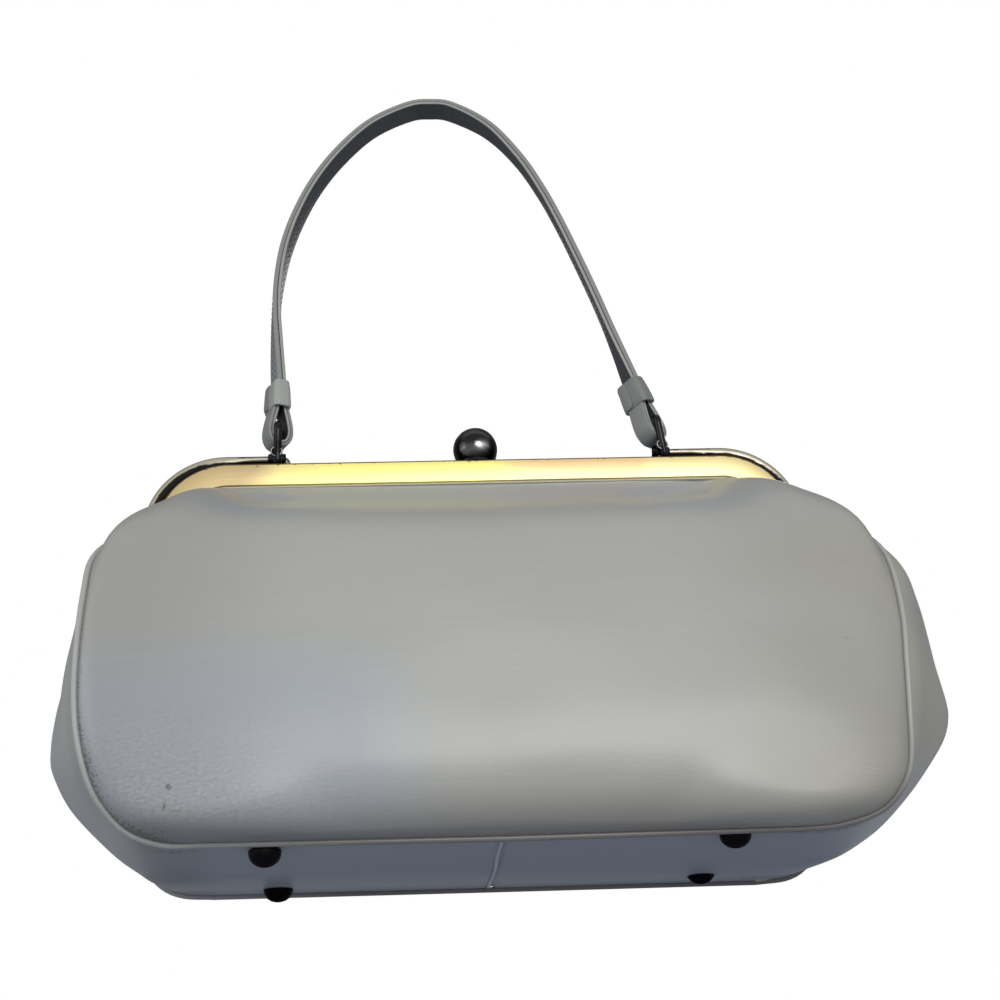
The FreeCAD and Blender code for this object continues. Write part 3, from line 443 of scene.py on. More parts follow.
def panel_wear_and_light(grid, side):
    """Rubbed at the lower left and along the foot, with grime in the seam there; a painted tint, cool as
    painted shade low on the left, at the shoulders and below the rail, warm as painted light at the lower
    right.
    """
    out, up = grid[..., 0], grid[..., 2]
    corner = np.exp(-((out + 112) / 34) ** 2 - ((up - 20) / 24) ** 2)
    low = np.exp(-((up - 12) / 10) ** 2) * ease(out, 30, -90)
    worn = corner * 0.9 + low * 0.45 + 0.25 * np.exp(-((out - 112) / 20) ** 2 - ((up - 16) / 14) ** 2)
    # Painted shade tint low on the left, at the shoulders and in the valley below the rail; painted warm
    # light tint at the lower right
    cool = ease(out, 0, -60) * ease(up, 84, 44)
    shoulder = np.exp(-((np.abs(out) - 84) / 30) ** 2 - ((up - 126) / 9) ** 2)
    near_seam = np.exp(-((133 - np.abs(out)) / 9) ** 2) + np.exp(-((up - 6) / 7) ** 2)
    grime_and_shade = near_seam * np.exp(-((out + 118) / 26) ** 2 - ((up - 16) / 22) ** 2)
    warm = ease(out, 40, 128) * ease(up, 120, 90)
    valley = np.exp(-((up - 135) / 8) ** 2) * ease(np.abs(out), 100, 70)
    cool = np.clip(cool + 0.6 * shoulder + 0.9 * valley, 0, 1) - 0.7 * warm
    across = np.abs(np.linspace(-1, 1, grid.shape[1]))[None, :]
    in_seam = ease(across, 0.972, 0.99) * ease(up, 116, 70) * (0.4 + 0.6 * (out < 0))
    in_seam = in_seam + ease(np.arange(grid.shape[0]), 1.2, 0.2)[:, None]
    grime_and_shade = np.clip(grime_and_shade * 0.8 + 0.5 * in_seam, 0, 1)
    return (worn, cool, grime_and_shade) if side < 0 else (worn * 0.7, cool * 0.4, grime_and_shade * 0.5)


def panel_painted_shade(grid):
    """Painted shade along the foot where the front rolls under, partly soiling there, in the valley under
    the rail and at both sides, less at the lower right.
    """
    out, up = grid[..., 0], grid[..., 2]
    foot = ease(up, 25, 6.5) ** 1.3 * (0.58 - 0.25 * ease(out, -50, -100) - 0.50 * ease(out, 50, 100))
    valley = np.exp(-((up - 136.5) / 5.5) ** 2) * ease(np.abs(out), 96, 72) * 0.10
    shade_lifted = 0.8 * ease(out, 70, 100) * ease(up, 34, 18)
    sides = (0.20 + 0.08 * (out < 0)) * ease(np.abs(out), 55, 115) * (1 - shade_lifted)
    return np.clip(foot + valley + sides, 0, 1)


# Scuffs: place and reach on the cut leather in metres, turn, darkness
FRONT_MARKS = [((-0.1036, 0.0362), (0.0012, 0.0021), -0.6, 1.0),
               ((-0.1046, 0.0296), (0.0007, 0.0021), 0.1, 1.0),
               ((-0.1010, 0.0272), (0.0030, 0.0005), 0.2, 0.5),
               ((0.1165, 0.0850), (0.0015, 0.0005), 0.1, 0.35)]
panel_finish = {-1: leather_finish("front_calf", FRONT_MARKS),
                1: leather_finish("back_calf", [((0.06, 0.05), (0.004, 0.0007), 0.3, 0.4)])}
for side, label in PANELS:
    grid = panel_grid(side)
    panel = sheet_piece(label + "_panel_leather", grid, (0, side, 0), LEATHER, 1)
    # Wear and grime, with a painted light tint: cool as painted shade, warm as painted light
    paint_wear_and_light(panel, *panel_wear_and_light(grid, side))
    # Painted shade, partly soiling at the foot
    paint(panel, "shade_and_soil", panel_painted_shade(grid))
    settle(panel)
    dress(panel, panel_finish[side], "grey_leather", label + "_panel", label + "_panel_top")
    bend_with(panel)

# Gussets: one length of the same calf on each side, folded out along a ridge beside the bag and
# flat below it, from the hinge to a seam under the middle. Sewn to both panels through the piping.
# Each is made in a front and a rear half that meet along the ridge.
HANDS = ((-1, "left"), (1, "right"))
ENDS = ((-1, "front"), (1, "rear"))
FOLD_ROUND = 5.0
BASE_COLUMNS = 34
GUSSET_ACROSS = 19
BASE_UP = 3.4
FLANK_SWELL = {1: 2.4, -1: 0.4}
UPPER_SWELL = {1: 2.6, -1: 0.6}
# Ridge beside the bag, from the foot to the hinge: out and up
RIDGE = {
    1: [(100, 2.4), (112, 1.0), (118, 2.2), (126, 6.4), (134, 11.7), (144, 20.8), (151.6, 29),
        (160.4, 40), (163.6, 48), (163.4, 54), (162, 63), (161, 73), (158.6, 85), (153.4, 97),
        (145.4, 106), (137, 112), (128, 114.6), (118, 114.2)],
    -1: [(100, 3.2), (112.6, 2.6), (119.5, 6.5), (128, 12.9), (141.6, 27), (148.6, 39.6), (149.6, 46),
         (149.4, 53), (148.2, 62), (145.2, 71), (142, 82), (139.4, 91), (136, 99.5), (131, 107),
         (125.5, 112), (118, 114.2)],
}


def from_middle(start, line):
    """A line led in from a start under the middle of the bag, its points closer together there."""
    base = np.linspace(0, 1, BASE_COLUMNS, endpoint=False)[:, None] ** 1.6
    return np.vstack([start + (line[0] - start) * base, line])


def seam_route(hand, side):
    """Panel seam from the middle of the foot out and up to the hinge: (out, forward, up)."""
    return from_middle(np.array([0.0, *FOOT_MIDDLE[side]]), seam_line(hand, side))


def fold_rise(reach):
    """Rise of a fold with a rounded bottom at a distance from it."""
    return np.sqrt(reach ** 2 + FOLD_ROUND ** 2) - FOLD_ROUND


def gusset_grid(hand, side):
    """Half a gusset: rows along its length, columns from the panel seam to the ridge."""
    route = seam_route(hand, side)
    ridge = from_middle(np.array([0.0, BASE_UP]), smooth_line(RIDGE[hand], PANEL_ROWS))
    share = np.linspace(0, 1, GUSSET_ACROSS)[None, :]
    reach = route[:, 1:2]
    remaining = (1 - share) * reach
    fall = fold_rise(remaining) / fold_rise(reach)
    out = ridge[:, 0:1] + (route[:, 0:1] - ridge[:, 0:1]) * fall
    up = ridge[:, 1:2] + (route[:, 2:3] - ridge[:, 1:2]) * fall
    flank = ease(route[:, 2:3], 10, 40) * ease(route[:, 2:3], 118, 104)
    slack = np.array([[noise.noise(Vector((a / 14, z / 38, 9.0 * side + hand))) for a in row * 48]
                      for row, z in zip(np.repeat(share, len(route), 0), route[:, 2])])
    swell = FLANK_SWELL[hand] + UPPER_SWELL[hand] * np.exp(-((route[:, 2:3] - 96) / 14) ** 2)
    out = out + flank * np.sin(np.pi * share ** 0.55) * (slack * 1.4 + swell)
    close = 1 - ease(np.abs(route[:, 0:1] * np.ones_like(share)), 0.5, 1.7)
    up = up + close * 0.8
    return np.stack([hand * out, side * remaining, up], 2)


def gusset_wear_and_light(grid):
    """Rubbed along the seam at the corners, grime beside the piping at the left and a painted shadow under
    it at the right; a painted tint, cool as painted shade low down and on the left, warm as painted light
    higher on the right.
    """
    share = np.linspace(0, 1, GUSSET_ACROSS)[None, :]
    out, up = grid[..., 0], grid[..., 2]
    corner = np.exp(-((np.abs(out) - 114) / 24) ** 2) * np.exp(-(up / 30) ** 2)
    worn = corner * (1 - ease(share, 0.05, 0.40)) * 0.9 + 0.3 * corner
    under_left = np.exp(-((out + 106) / 18) ** 2 - (up / 9) ** 2 - ((share - 0.18) / 0.08) ** 2)
    beside_left = np.exp(-((out + 121) / 10) ** 2 - ((up - 18) / 14) ** 2 - ((share - 0.05) / 0.05) ** 2)
    # Painted shadow under the piping at the right, laid in with the grime
    shadow_under_right_piping = ease(out, 70, 96) * ease(out, 132, 118) * np.exp(-((share - 0.14) / 0.09) ** 2)
    grime_and_shade = under_left + beside_left + 0.7 * shadow_under_right_piping
    # Painted tint: cool as painted shade low down and all along the left, warm as painted light higher on
    # the right
    shaded = ease(up, 40, 8)
    return worn, np.where(out < 0, np.clip(shaded * 0.9 + 0.25, 0, 1), shaded * 0.9 - (1 - shaded)), grime_and_shade


def gusset_painted_shade(grid):
    """Painted shade at the lower left corner of the gusset."""
    out, up = grid[..., 0], grid[..., 2]
    return 0.42 * ease(out, -84, -112) * ease(up, 46, 20)


# Gussets painted a little lighter than the panels: painted light
gusset_finish = leather_finish("gusset_calf", painted_light_gain=1.06)
for hand, place in HANDS:
    for side, end in ENDS:
        grid = gusset_grid(hand, side)
        gusset = sheet_piece("gusset_%s_%s" % (place, end), grid, (0, 0, -1), LEATHER, 1)
        paint_wear_and_light(gusset, *gusset_wear_and_light(grid))
        # Painted shade at the lower left corner
        paint(gusset, "shade_and_soil", gusset_painted_shade(grid))
        settle(gusset)
        dress(gusset, gusset_finish, "grey_leather", "gusset_" + place)
        bend_with(gusset)

# Piping: a cord wrapped in a strip of the calf, caught in each panel seam so that half of it
# stands proud; it runs from one hinge down the side, along the foot and up to the other hinge.
PIPING = 1.0
PIPING_PROUD = 0.5
ROUND_SIDES = 14


def loft_piece(name, rings, closed=False):
    """Piece through rings of points in millimetres; a closed one joins its last ring to its first."""
    rings = np.array(rings, float)
    count, sides, _ = rings.shape
    order = np.arange(count * sides).reshape(count, sides)
    after = np.roll(order, -1, axis=0) if closed else order[1:]
    before = order if closed else order[:-1]
    quads = np.stack([before, np.roll(before, -1, axis=1), np.roll(after, -1, axis=1), after], 2)
    faces = quads.reshape(-1, 4).tolist()
    if not closed:
        faces += [order[0][::-1].tolist(), order[-1].tolist()]
    ring_run = np.cumsum(np.linalg.norm(np.diff(rings, axis=1, prepend=rings[:, -1:]), axis=2), 1)
    path_run = np.cumsum(np.linalg.norm(np.diff(rings, axis=0, prepend=rings[:1]), axis=2).mean(1))
    piece = mesh_piece(name, rings, faces, np.stack([np.repeat(path_run[:, None], sides, 1), ring_run], 2))
    shell = bmesh.new()
    shell.from_mesh(piece.data)
    bmesh.ops.remove_doubles(shell, verts=shell.verts, dist=1e-6)
    bmesh.ops.recalc_face_normals(shell, faces=shell.faces)
    shell.to_mesh(piece.data)
    shell.free()
    return piece


def round_rings(path, radius, sides=ROUND_SIDES):
    """Rings of a round cord or wire along a path, carried along without twist; radius may vary."""
    path = np.array(path, float)
    radius = np.broadcast_to(radius, len(path))
    ahead = directions(path)
    across = np.cross(ahead[0], (0.31, 0.52, 0.79))
    turn = np.linspace(0, 2 * math.pi, sides, endpoint=False)
    rings = []
    for point, direction, size in zip(path, ahead, radius):
        across = across - direction * (across @ direction)
        across = across / np.linalg.norm(across)
        beside = np.cross(direction, across)
        rings.append(point + size * (np.outer(np.cos(turn), across) + np.outer(np.sin(turn), beside)))
    return rings


def piping_path(side):
    """Middle of the piping: just outside the seam, from the left hinge to the right one."""
    route = {hand: seam_route(hand, side) for hand in (-1, 1)}
    left = route[-1] * np.array([-1, 1, 1])
    line = np.vstack([left[:0:-1], route[1]])
    step = np.gradient(line, axis=0)
    outward = np.stack([step[:, 2], np.zeros(len(line)), -step[:, 0]], 1)
    outward = outward / np.maximum(np.linalg.norm(outward, axis=1), 1e-6)[:, None]
    line = line + outward * PIPING_PROUD + np.array([0, PIPING_PROUD, 0])
    return line * np.array([1, side, 1])


piping_finish = leather_finish("piping_calf")
for side, label in PANELS:
    path = piping_path(side)
    ends = np.minimum(np.arange(len(path)), np.arange(len(path))[::-1])
    rings = round_rings(path, PIPING * (0.45 + 0.55 * ease(ends, 0, 8)))
    piping = loft_piece(label + "_piping_welt", rings)
    corner = np.exp(-((np.abs(path[:, 0]) - 112) / 20) ** 2 - ((path[:, 2] - 8) / 14) ** 2)
    # Painted shade tint towards the left
    cool = 0.3 * ease(path[:, 0], 0, -100)
    paint_wear_and_light(piping, *[np.repeat(each, ROUND_SIDES) for each in (corner * 0.9, cool, corner * 0.2)])
    # Painted shade along the foot, partly soiling, weaker at the left corner
    foot_shade_and_soil = 0.55 * ease(path[:, 2], 22, 8) * ease(path[:, 0], -95, -40) + 0.42 * ease(path[:, 2], 40, 10)
    paint(piping, "shade_and_soil", np.repeat(foot_shade_and_soil, ROUND_SIDES))
    settle(piping, 60)
    dress(piping, piping_finish, "grey_leather", label + "_piping")
    bend_with(piping)

# Bottom seam: the two gussets are joined under the middle of the bag, right edge turned over left,
# so a narrow folded lip runs from front to back, a little askew.
LIP_WIDE, LIP_THICK = 1.2, 0.6
EDGE_PALE, EDGE_GREY = (0.56, 0.58, 0.62), (0.40, 0.42, 0.46)


def raw_edge_finish():
    """Pale cut edge of the calf, fibrous."""
    material, shader, tone = new_finish("calf_edge")
    cut = tone.cut_map()
    fibre = cut.times((1, 4, 1)).speckle(900, 3.0, 0.6)
    set_shader(shader, tone, Base_Color=fibre.between(EDGE_GREY, EDGE_PALE), Roughness=0.6 + fibre * 0.2,
               Normal=fibre.relief(0.00006))
    return material


foot_fore = (-FOOT_MIDDLE[-1][0], 0, FOOT_MIDDLE[1][0])
foot_up = (FOOT_MIDDLE[-1][1], BASE_UP, FOOT_MIDDLE[1][1])
lip_turn = np.linspace(0, 2 * math.pi, ROUND_SIDES, endpoint=False)
lip_section = np.stack([LIP_WIDE / 2 * np.cos(lip_turn), 0 * lip_turn, LIP_THICK * np.sin(lip_turn)], 1)
lip_rings = []
for y in np.linspace(foot_fore[0] + 0.6, foot_fore[2] - 1.4, 45):
    middle = np.array([-0.45 + 0.25 * math.sin(y / 9), y, np.interp(y, foot_fore, foot_up) + 0.25])
    lip_rings.append(middle + lip_section)
lip = loft_piece("bottom_seam_lip", lip_rings)
settle(lip, 60)
dress(lip, raw_edge_finish(), "grey_leather", "bottom_seam_strip")
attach(lip, "bag_body")

# Lining: five panels of dull grey-beige twill sewn into a pouch. It hangs just inside the leather
# and is caught with it in the rails; a slip pocket is sewn flat on its back wall.
LINING_INSET = 2.6
CLOTH = 0.7
CLOTH_TOP = 12.0
FLOOR_CLOTH = (100.0, 40.6)
POCKET_HALF, POCKET_LOW, POCKET_TOP, POCKET_THICK = 60.0, 38.0, 84.0, 0.9
LINING_BEIGE = (0.43, 0.40, 0.345)
LINING_SHADE = (0.33, 0.305, 0.26)


def twill_finish(name, light, dark, pitch):
    """Twill cloth: slanting ribs with uneven yarn."""
    material, shader, tone = new_finish(name)
    cut = tone.cut_map()
    ribs = tone.node("ShaderNodeTexWave", {"wave_type": "BANDS", "bands_direction": "DIAGONAL"},
                     {"Vector": cut, "Scale": 0.32 / pitch, "Distortion": 0.6, "Detail": 1.0}, 1)
    yarn = cut.speckle(2200, 2.0)
    weave = ribs * 0.65 + yarn * 0.35
    set_shader(shader, tone, Base_Color=weave.between(dark, light), Roughness=0.82 - ribs * 0.12,
               Normal=weave.relief(0.00012), Sheen_Weight=0.25, Specular_IOR_Level=0.3)
    return material


def inset(grid, side):
    """A grid drawn in from the leather by the lining's gap, in depth and width."""
    moved = grid.copy()
    moved[..., 1] -= side * LINING_INSET * np.minimum(1, np.abs(grid[..., 1]) / 12)
    moved[..., 0] *= 1 - 1.35 * LINING_INSET / 135
    low = grid[0, 0, 2]
    moved[..., 2] = CLOTH_TOP + (grid[..., 2] - low) * (RAIL_LINE - 0.6 - CLOTH_TOP) / (RAIL_LINE - low)
    return moved


cloth_finish = twill_finish("lining_twill", LINING_BEIGE, LINING_SHADE, 0.0011)
for side, label in PANELS:
    wall_grid = inset(panel_grid(side), side)[::2, ::2]
    wall = sheet_piece("lining_%s_wall" % label, wall_grid, (0, side, 0), CLOTH)
    settle(wall)
    dress(wall, cloth_finish, "lining", "lining_" + label)
    bend_with(wall)
for hand, place in HANDS:
    for side, end in ENDS:
        flank = inset(gusset_grid(hand, side)[BASE_COLUMNS:], side)[::2, ::2]
        flap = sheet_piece("lining_%s_%s" % (place, end), flank, (hand, 0, 0), CLOTH)
        settle(flap)
        dress(flap, cloth_finish, "lining", "lining_" + place)
        bend_with(flap)

floor_out = np.linspace(-FLOOR_CLOTH[0], FLOOR_CLOTH[0], 41)[None, :]
floor_fore = np.linspace(-FLOOR_CLOTH[1], FLOOR_CLOTH[1], 19)[:, None]
floor_dip = 0.5 * np.cos(floor_out / 21) * np.cos(floor_fore / 13)
floor_grid = np.stack([floor_out + 0 * floor_fore, floor_fore + 0 * floor_out,
                       CLOTH_TOP + 0.6 + floor_dip], 2)
lining_floor = sheet_piece("lining_floor_cloth", floor_grid, (0, 0, -1), CLOTH)
settle(lining_floor)
dress(lining_floor, cloth_finish, "lining", "lining_floor")
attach(lining_floor, "bag_body")

pocket_out = np.linspace(-POCKET_HALF, POCKET_HALF, 49)[None, :]
pocket_up = np.linspace(POCKET_LOW, POCKET_TOP, 19)[:, None]
pocket_fore = smooth_value(LOW_FORM[1] + MIDDLE_FORM, pocket_up) - LINING_INSET - 2.6
pocket_gape = 1.6 * ease(pocket_up, 60, POCKET_TOP) * np.cos(pocket_out / POCKET_HALF * math.pi / 2) ** 2
pocket_grid = np.stack([pocket_out + 0 * pocket_up, pocket_fore - pocket_gape,
                        pocket_up + 0 * pocket_out], 2)
pocket = sheet_piece("inner_slip_pocket", pocket_grid, (0, -1, 0), POCKET_THICK)
settle(pocket)
dress(pocket, cloth_finish, "lining", "inner_pocket")
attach(pocket, "bag_body")

# Feet: four black enamelled domes on studs that pass through the leather and the bottom board,
# each held by a plain steel washer inside. Grey board stiffens the bottom.
FOOT_PROFILE = [(0.01, 0.0), (1.4, 0.08), (2.7, 0.5), (3.8, 1.25), (4.6, 2.2), (5.05, 3.3), (5.2, 4.4),
                (5.2, 5.0), (4.9, 5.25), (4.0, 5.3), (4.0, 6.4), (0.01, 6.4)]
FOOT_AT = (75.0, 30.0)
BOARD_HALF, BOARD_UP, BOARD_SIDES = (94.0, 33.5), (7.3, 8.1), 64


def lathe_rings(profile, centre, sides=40):
    """Rings of a turned piece: a profile of (radius, height) round an upright line."""
    turn = np.linspace(0, 2 * math.pi, sides, endpoint=False)
    circle = np.stack([np.cos(turn), np.sin(turn), np.zeros(sides)], 1)
    return [np.array(centre, float) + circle * radius + np.array([0, 0, height])
            for radius, height in profile]


def enamel_finish():
    """Black enamel, scratched a little where it stands."""
    material, shader, tone = new_finish("foot_enamel")
    place = tone.place()
    scratches = place.times((1, 6, 1)).speckle(500, 3.0, 0.7)
    rim = place.speckle(160, 2.0)
    colour = scratches.ease(0.62, 0.8).between((0.003, 0.003, 0.004), (0.012, 0.012, 0.012))
    set_shader(shader, tone, Base_Color=colour,
               Roughness=0.30 + scratches.ease(0.5, 0.8) * 0.25 + rim * 0.08,
               Normal=scratches.relief(0.00003), Specular_IOR_Level=0.08)
    return material


def steel_finish(name, colour, polish):
    """Plain plated steel with drawn grain and a little dulling."""
    material, shader, tone = new_finish(name)
    place = tone.place()
    drawn = place.times((1, 1, 30)).speckle(600, 3.0, 0.6)
    dull = place.speckle(90, 2.0)
    darker = tuple(value * 0.72 for value in colour)
    set_shader(shader, tone, Base_Color=dull.ease(0.3, 0.75).between(colour, darker), Metallic=1.0,
               Roughness=polish + drawn * 0.12 + dull * 0.10, Normal=drawn.relief(0.00002))
    return material


def board_finish():
    """Grey pressed board with flecks of fibre."""
    material, shader, tone = new_finish("pressed_board")
    place = tone.place()
    fibre = place.times((1, 3, 1)).speckle(700, 4.0, 0.7)
    set_shader(shader, tone, Base_Color=fibre.between((0.16, 0.145, 0.12), (0.32, 0.29, 0.25)),
               Roughness=0.9,
               Normal=fibre.relief(0.00015))
    return material


def cover_node(name, material):
    """Give a CAD piece its finish."""
    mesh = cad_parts[name].data
    mesh.materials.clear()
    mesh.materials.append(material)


foot_finish = enamel_finish()
washer_finish = steel_finish("washer_steel", (0.42, 0.41, 0.39), 0.34)
for fore, row in ENDS:
    for hand, place in HANDS:
        foot = loft_piece("foot_dome_%s_%s" % (row, place),
                          lathe_rings(FOOT_PROFILE, (hand * FOOT_AT[0], fore * FOOT_AT[1], 0)))
        settle(foot, 50)
        dress(foot, foot_finish, "black_enamel", "foot_%s_%s" % (row, place))
        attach(foot, "bag_body")
        cover_node("foot_washer_%s_%s" % (row, place), washer_finish)
turn = np.linspace(0, 2 * math.pi, BOARD_SIDES, endpoint=False)
edge = np.stack([BOARD_HALF[0] * np.sign(np.cos(turn)) * np.abs(np.cos(turn)) ** 0.25,
                 BOARD_HALF[1] * np.sign(np.sin(turn)) * np.abs(np.sin(turn)) ** 0.25], 1)
board_rings = [np.hstack([edge, np.full((BOARD_SIDES, 1), height)]) for height in BOARD_UP]
board = loft_piece("bottom_board_sheet", board_rings)
settle(board, 40)
dress(board, board_finish(), "board", "bottom_board")
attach(board, "bag_body")

# Frame rails: brass strip rolled to a channel, bent to an arch with round corners and plated pale
# gold. A rolled bead closes the lower edge of its face, and an eye below each leg takes the hinge pin.
# Tarnish lies in the groove over the bead and along the upper edge. The cream, peach and tan stretches
# along the gold and its paler bead are painted reflections.
FRAME_HALF, FRAME_TOP, FRAME_CORNER = 118.0, 153.0, 26.0
LEG_FOOT = 120.0
# Channel section: depth below the outer edge, distance from the joint of the two rails
CHANNEL = [(0.0, 1.2), (0.12, 0.75), (0.45, 0.42), (1.0, 0.3), (5.0, 0.3), (8.9, 0.3), (9.0, 0.5),
           (9.0, 1.3), (8.8, 1.5), (5.0, 1.5), (1.4, 1.5), (1.2, 1.7), (1.2, 3.7), (1.2, 5.8),
           (1.4, 6.0), (5.0, 6.0), (9.8, 6.0), (10.3, 6.1), (10.6, 6.4), (10.7, 6.8), (10.55, 7.15),
           (10.3, 7.3), (9.9, 7.28), (9.6, 7.1), (9.45, 6.85), (9.3, 6.75), (9.15, 6.9), (8.95, 7.04),
           (6.5, 7.1), (4.5, 7.12), (2.5, 7.06), (1.2, 6.95), (0.75, 6.85), (0.45, 6.7), (0.12, 6.35),
           (0.0, 5.8), (0.0, 3.5)]
GROOVE, BEAD_TOP = 9.3, 9.55
GOLD = (0.80, 0.66, 0.33)
# Colours of painted reflections along the gold and on its bead
GOLD_PEACH_REFLECTION = (0.76, 0.52, 0.28)
GOLD_CREAM_REFLECTION = (0.90, 0.82, 0.27)
GOLD_BEAD_REFLECTION = (0.47, 0.46, 0.35)
GOLD_TAN_REFLECTION = (0.50, 0.385, 0.205)
TARNISH = (0.10, 0.075, 0.04)
EYE_RADIUS, EYE_THICK, HINGE = 4.2, 1.2, 114.0


def gold_finish(name):
    """Pale gold plate: cream, peach and tan stretches along it and a paler bead, all painted reflection;
    rubbing marks along it, tarnish near its edges.
    """
    material, shader, tone = new_finish(name)
    cut = tone.cut_map()
    place = tone.place()
    reach = tone.node("ShaderNodeSeparateXYZ", {}, {0: place})
    edge = tone.painted("edge")
    bead = tone.painted("bead")
    drift = place.times((14, 1, 30)).speckle(1.0, 2.0)
    brushed = cut.times((30, 900, 1)).speckle(1.0, 2.0)
    # Cream, peach and tan stretches by place along the rail: painted reflections
    clouds = reach + drift * 0.05 - 0.025
    cream_reflection = clouds.ease(-0.085, -0.045) * clouds.ease(0.028, 0.0)
    tint = (1 - cream_reflection).between(GOLD_CREAM_REFLECTION, GOLD)
    peach_reflection = clouds.ease(0.005, 0.03) * clouds.ease(0.062, 0.05) * 0.75
    tan = clouds.ease(-0.068, -0.080) * 0.9 + clouds.ease(0.085, 0.11) * 0.35
    tint = tan.between(peach_reflection.between(tint, GOLD_PEACH_REFLECTION), GOLD_TAN_REFLECTION)
    # The bead is painted paler: painted reflection
    tint = bead.between(tint, GOLD_BEAD_REFLECTION)
    specks = cut.speckle(650, 3.0, 0.7)
    pits = (specks + edge * 0.10).ease(0.72, 0.78) * edge.ease(0.1, 0.8)
    pits = tone.maths("MAXIMUM", pits, edge.ease(1.55, 1.75))
    lone = cut.speckle(230, 2.0).ease(0.735, 0.75) * 0.6
    stain = tone.maths("MAXIMUM", pits, lone)
    set_shader(shader, tone, Base_Color=stain.between(tint, TARNISH), Metallic=1.0 - stain * 0.6,
               Roughness=0.20 + brushed * 0.12 + stain * 0.35,
               Normal=(brushed - stain * 2.0).relief(0.000012))
    return material


def rail_path():
    """Outer edge of a rail from the left leg to the right: place and inward direction, across and up."""
    centre = FRAME_HALF - FRAME_CORNER
    spots = []
    for up in np.linspace(LEG_FOOT, FRAME_TOP - FRAME_CORNER, 4, endpoint=False):
        spots.append(((-FRAME_HALF, up), (1, 0)))
    for turn in np.linspace(math.pi, math.pi / 2, 22, endpoint=False):
        corner = (-centre + FRAME_CORNER * math.cos(turn),
                  FRAME_TOP - FRAME_CORNER + FRAME_CORNER * math.sin(turn))
        spots.append((corner, (-math.cos(turn), -math.sin(turn))))
    for out in np.linspace(-centre, 0, 40):
        spots.append(((out, FRAME_TOP), (0, -1)))
    mirrored = [((-place[0], place[1]), (-inward[0], inward[1])) for place, inward in spots[-2::-1]]
    return spots + mirrored


def eye_rings(near, side):
    """Flat hinge eye with its shank: an outline in the YZ plane at the two faces of the plate."""
    turn = np.linspace(math.pi, 2 * math.pi, 21)
    bow = [(EYE_RADIUS * math.cos(a), HINGE + EYE_RADIUS * math.sin(a)) for a in turn]
    inner = 0.3 * side
    back = inner if side < 0 else EYE_RADIUS
    fore = -EYE_RADIUS if side < 0 else inner
    outline = bow + [(EYE_RADIUS, HINGE), (EYE_RADIUS * 0.9, HINGE + 1.8), (back, HINGE + 4.5),
                     (back, HINGE + 10), (fore, HINGE + 10), (fore, HINGE + 4.5),
                     (-EYE_RADIUS * 0.9, HINGE + 1.8)]
    return [[(near + step, y, z) for y, z in outline] for step in (0, EYE_THICK)]


def join(target, *others):
    """Make several meshes one piece."""
    for other in others:
        combined = bmesh.new()
        combined.from_mesh(target.data)
        combined.from_mesh(other.data)
        combined.to_mesh(target.data)
        combined.free()
        mesh = other.data
        bpy.data.objects.remove(other)
        bpy.data.meshes.remove(mesh)


rail_finish = gold_finish("pale_gold_plate")
section = np.array(CHANNEL, float)
section_edge = (0.9 * np.exp(-(section[:, 0] / 1.2) ** 2) + 2.4 * np.exp(-(section[:, 0] / 0.85) ** 2)
                + 2.0 * np.exp(-((section[:, 0] - GROOVE) / 0.16) ** 2))
section_bead = ease(section[:, 0], GROOVE, BEAD_TOP) * (section[:, 1] > 5)
for side, label, lap in ((-1, "front", 0.0), (1, "rear", 1.5)):
    rings = []
    for (out, up), (in_x, in_z) in rail_path():
        rings.append(np.stack([out + in_x * section[:, 0], side * section[:, 1],
                               up + in_z * section[:, 0]], 1))
    rail = loft_piece(label + "_rail_channel", rings)
    paint(rail, "edge", np.tile(section_edge, len(rings)))
    paint(rail, "bead", np.tile(section_bead, len(rings)))
    eyes = [loft_piece("%s_eye_%d" % (label, hand), eye_rings(start, side))
            for hand, start in ((1, FRAME_HALF - EYE_THICK - lap), (-1, -(FRAME_HALF - lap)))]
    for eye in eyes:
        paint(eye, "edge", np.zeros(len(eye.data.vertices)))
        paint(eye, "bead", np.zeros(len(eye.data.vertices)))
    join(rail, *eyes)
    settle(rail, 32)
    dress(rail, rail_finish, "pale_gold", label + "_frame_rail")
    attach(rail, label + "_frame")

# Hinge pins and clamp cords: a plated steel pin joins the two rails at each side, and a twisted paper
# cord pressed into each channel grips the leather. Both are the CAD's own solids with a finish.
pin_finish = steel_finish("pin_steel", (0.55, 0.53, 0.49), 0.24)
for place in ("left", "right"):
    cover_node("hinge_pin_" + place, pin_finish)


def cord_finish():
    """Twisted paper cord."""
    material, shader, tone = new_finish("paper_cord")
    place = tone.place()
    twist = place.times((900, 300, 900)).speckle(1.0, 2.0)
    set_shader(shader, tone, Base_Color=twist.between((0.30, 0.25, 0.17), (0.55, 0.47, 0.34)),
               Roughness=0.85,
               Normal=twist.relief(0.0001))
    return material


clamp_finish = cord_finish()
for label in ("front", "rear"):
    cover_node(label + "_clamp_cord", clamp_finish)

# Kiss lock: a ball of black chrome on a short collar, sawn through its middle so that each rail
# carries one half; a stud in the front half snaps into a socket in the rear one. A bright spot, a
# smear beside it and a faint ring round its crown are painted highlights on the chrome.
BALL, BALL_UP = 8.5, 160.3
COLLAR, COLLAR_TOP = 6.4, 154.5
BALL_GAP = 0.15
# Chrome plate colours and the colour of its painted highlights
CHROME, CHROME_DEEP, CHROME_HIGHLIGHT = (0.020, 0.020, 0.022), (0.006, 0.006, 0.008), (0.62, 0.63, 0.61)


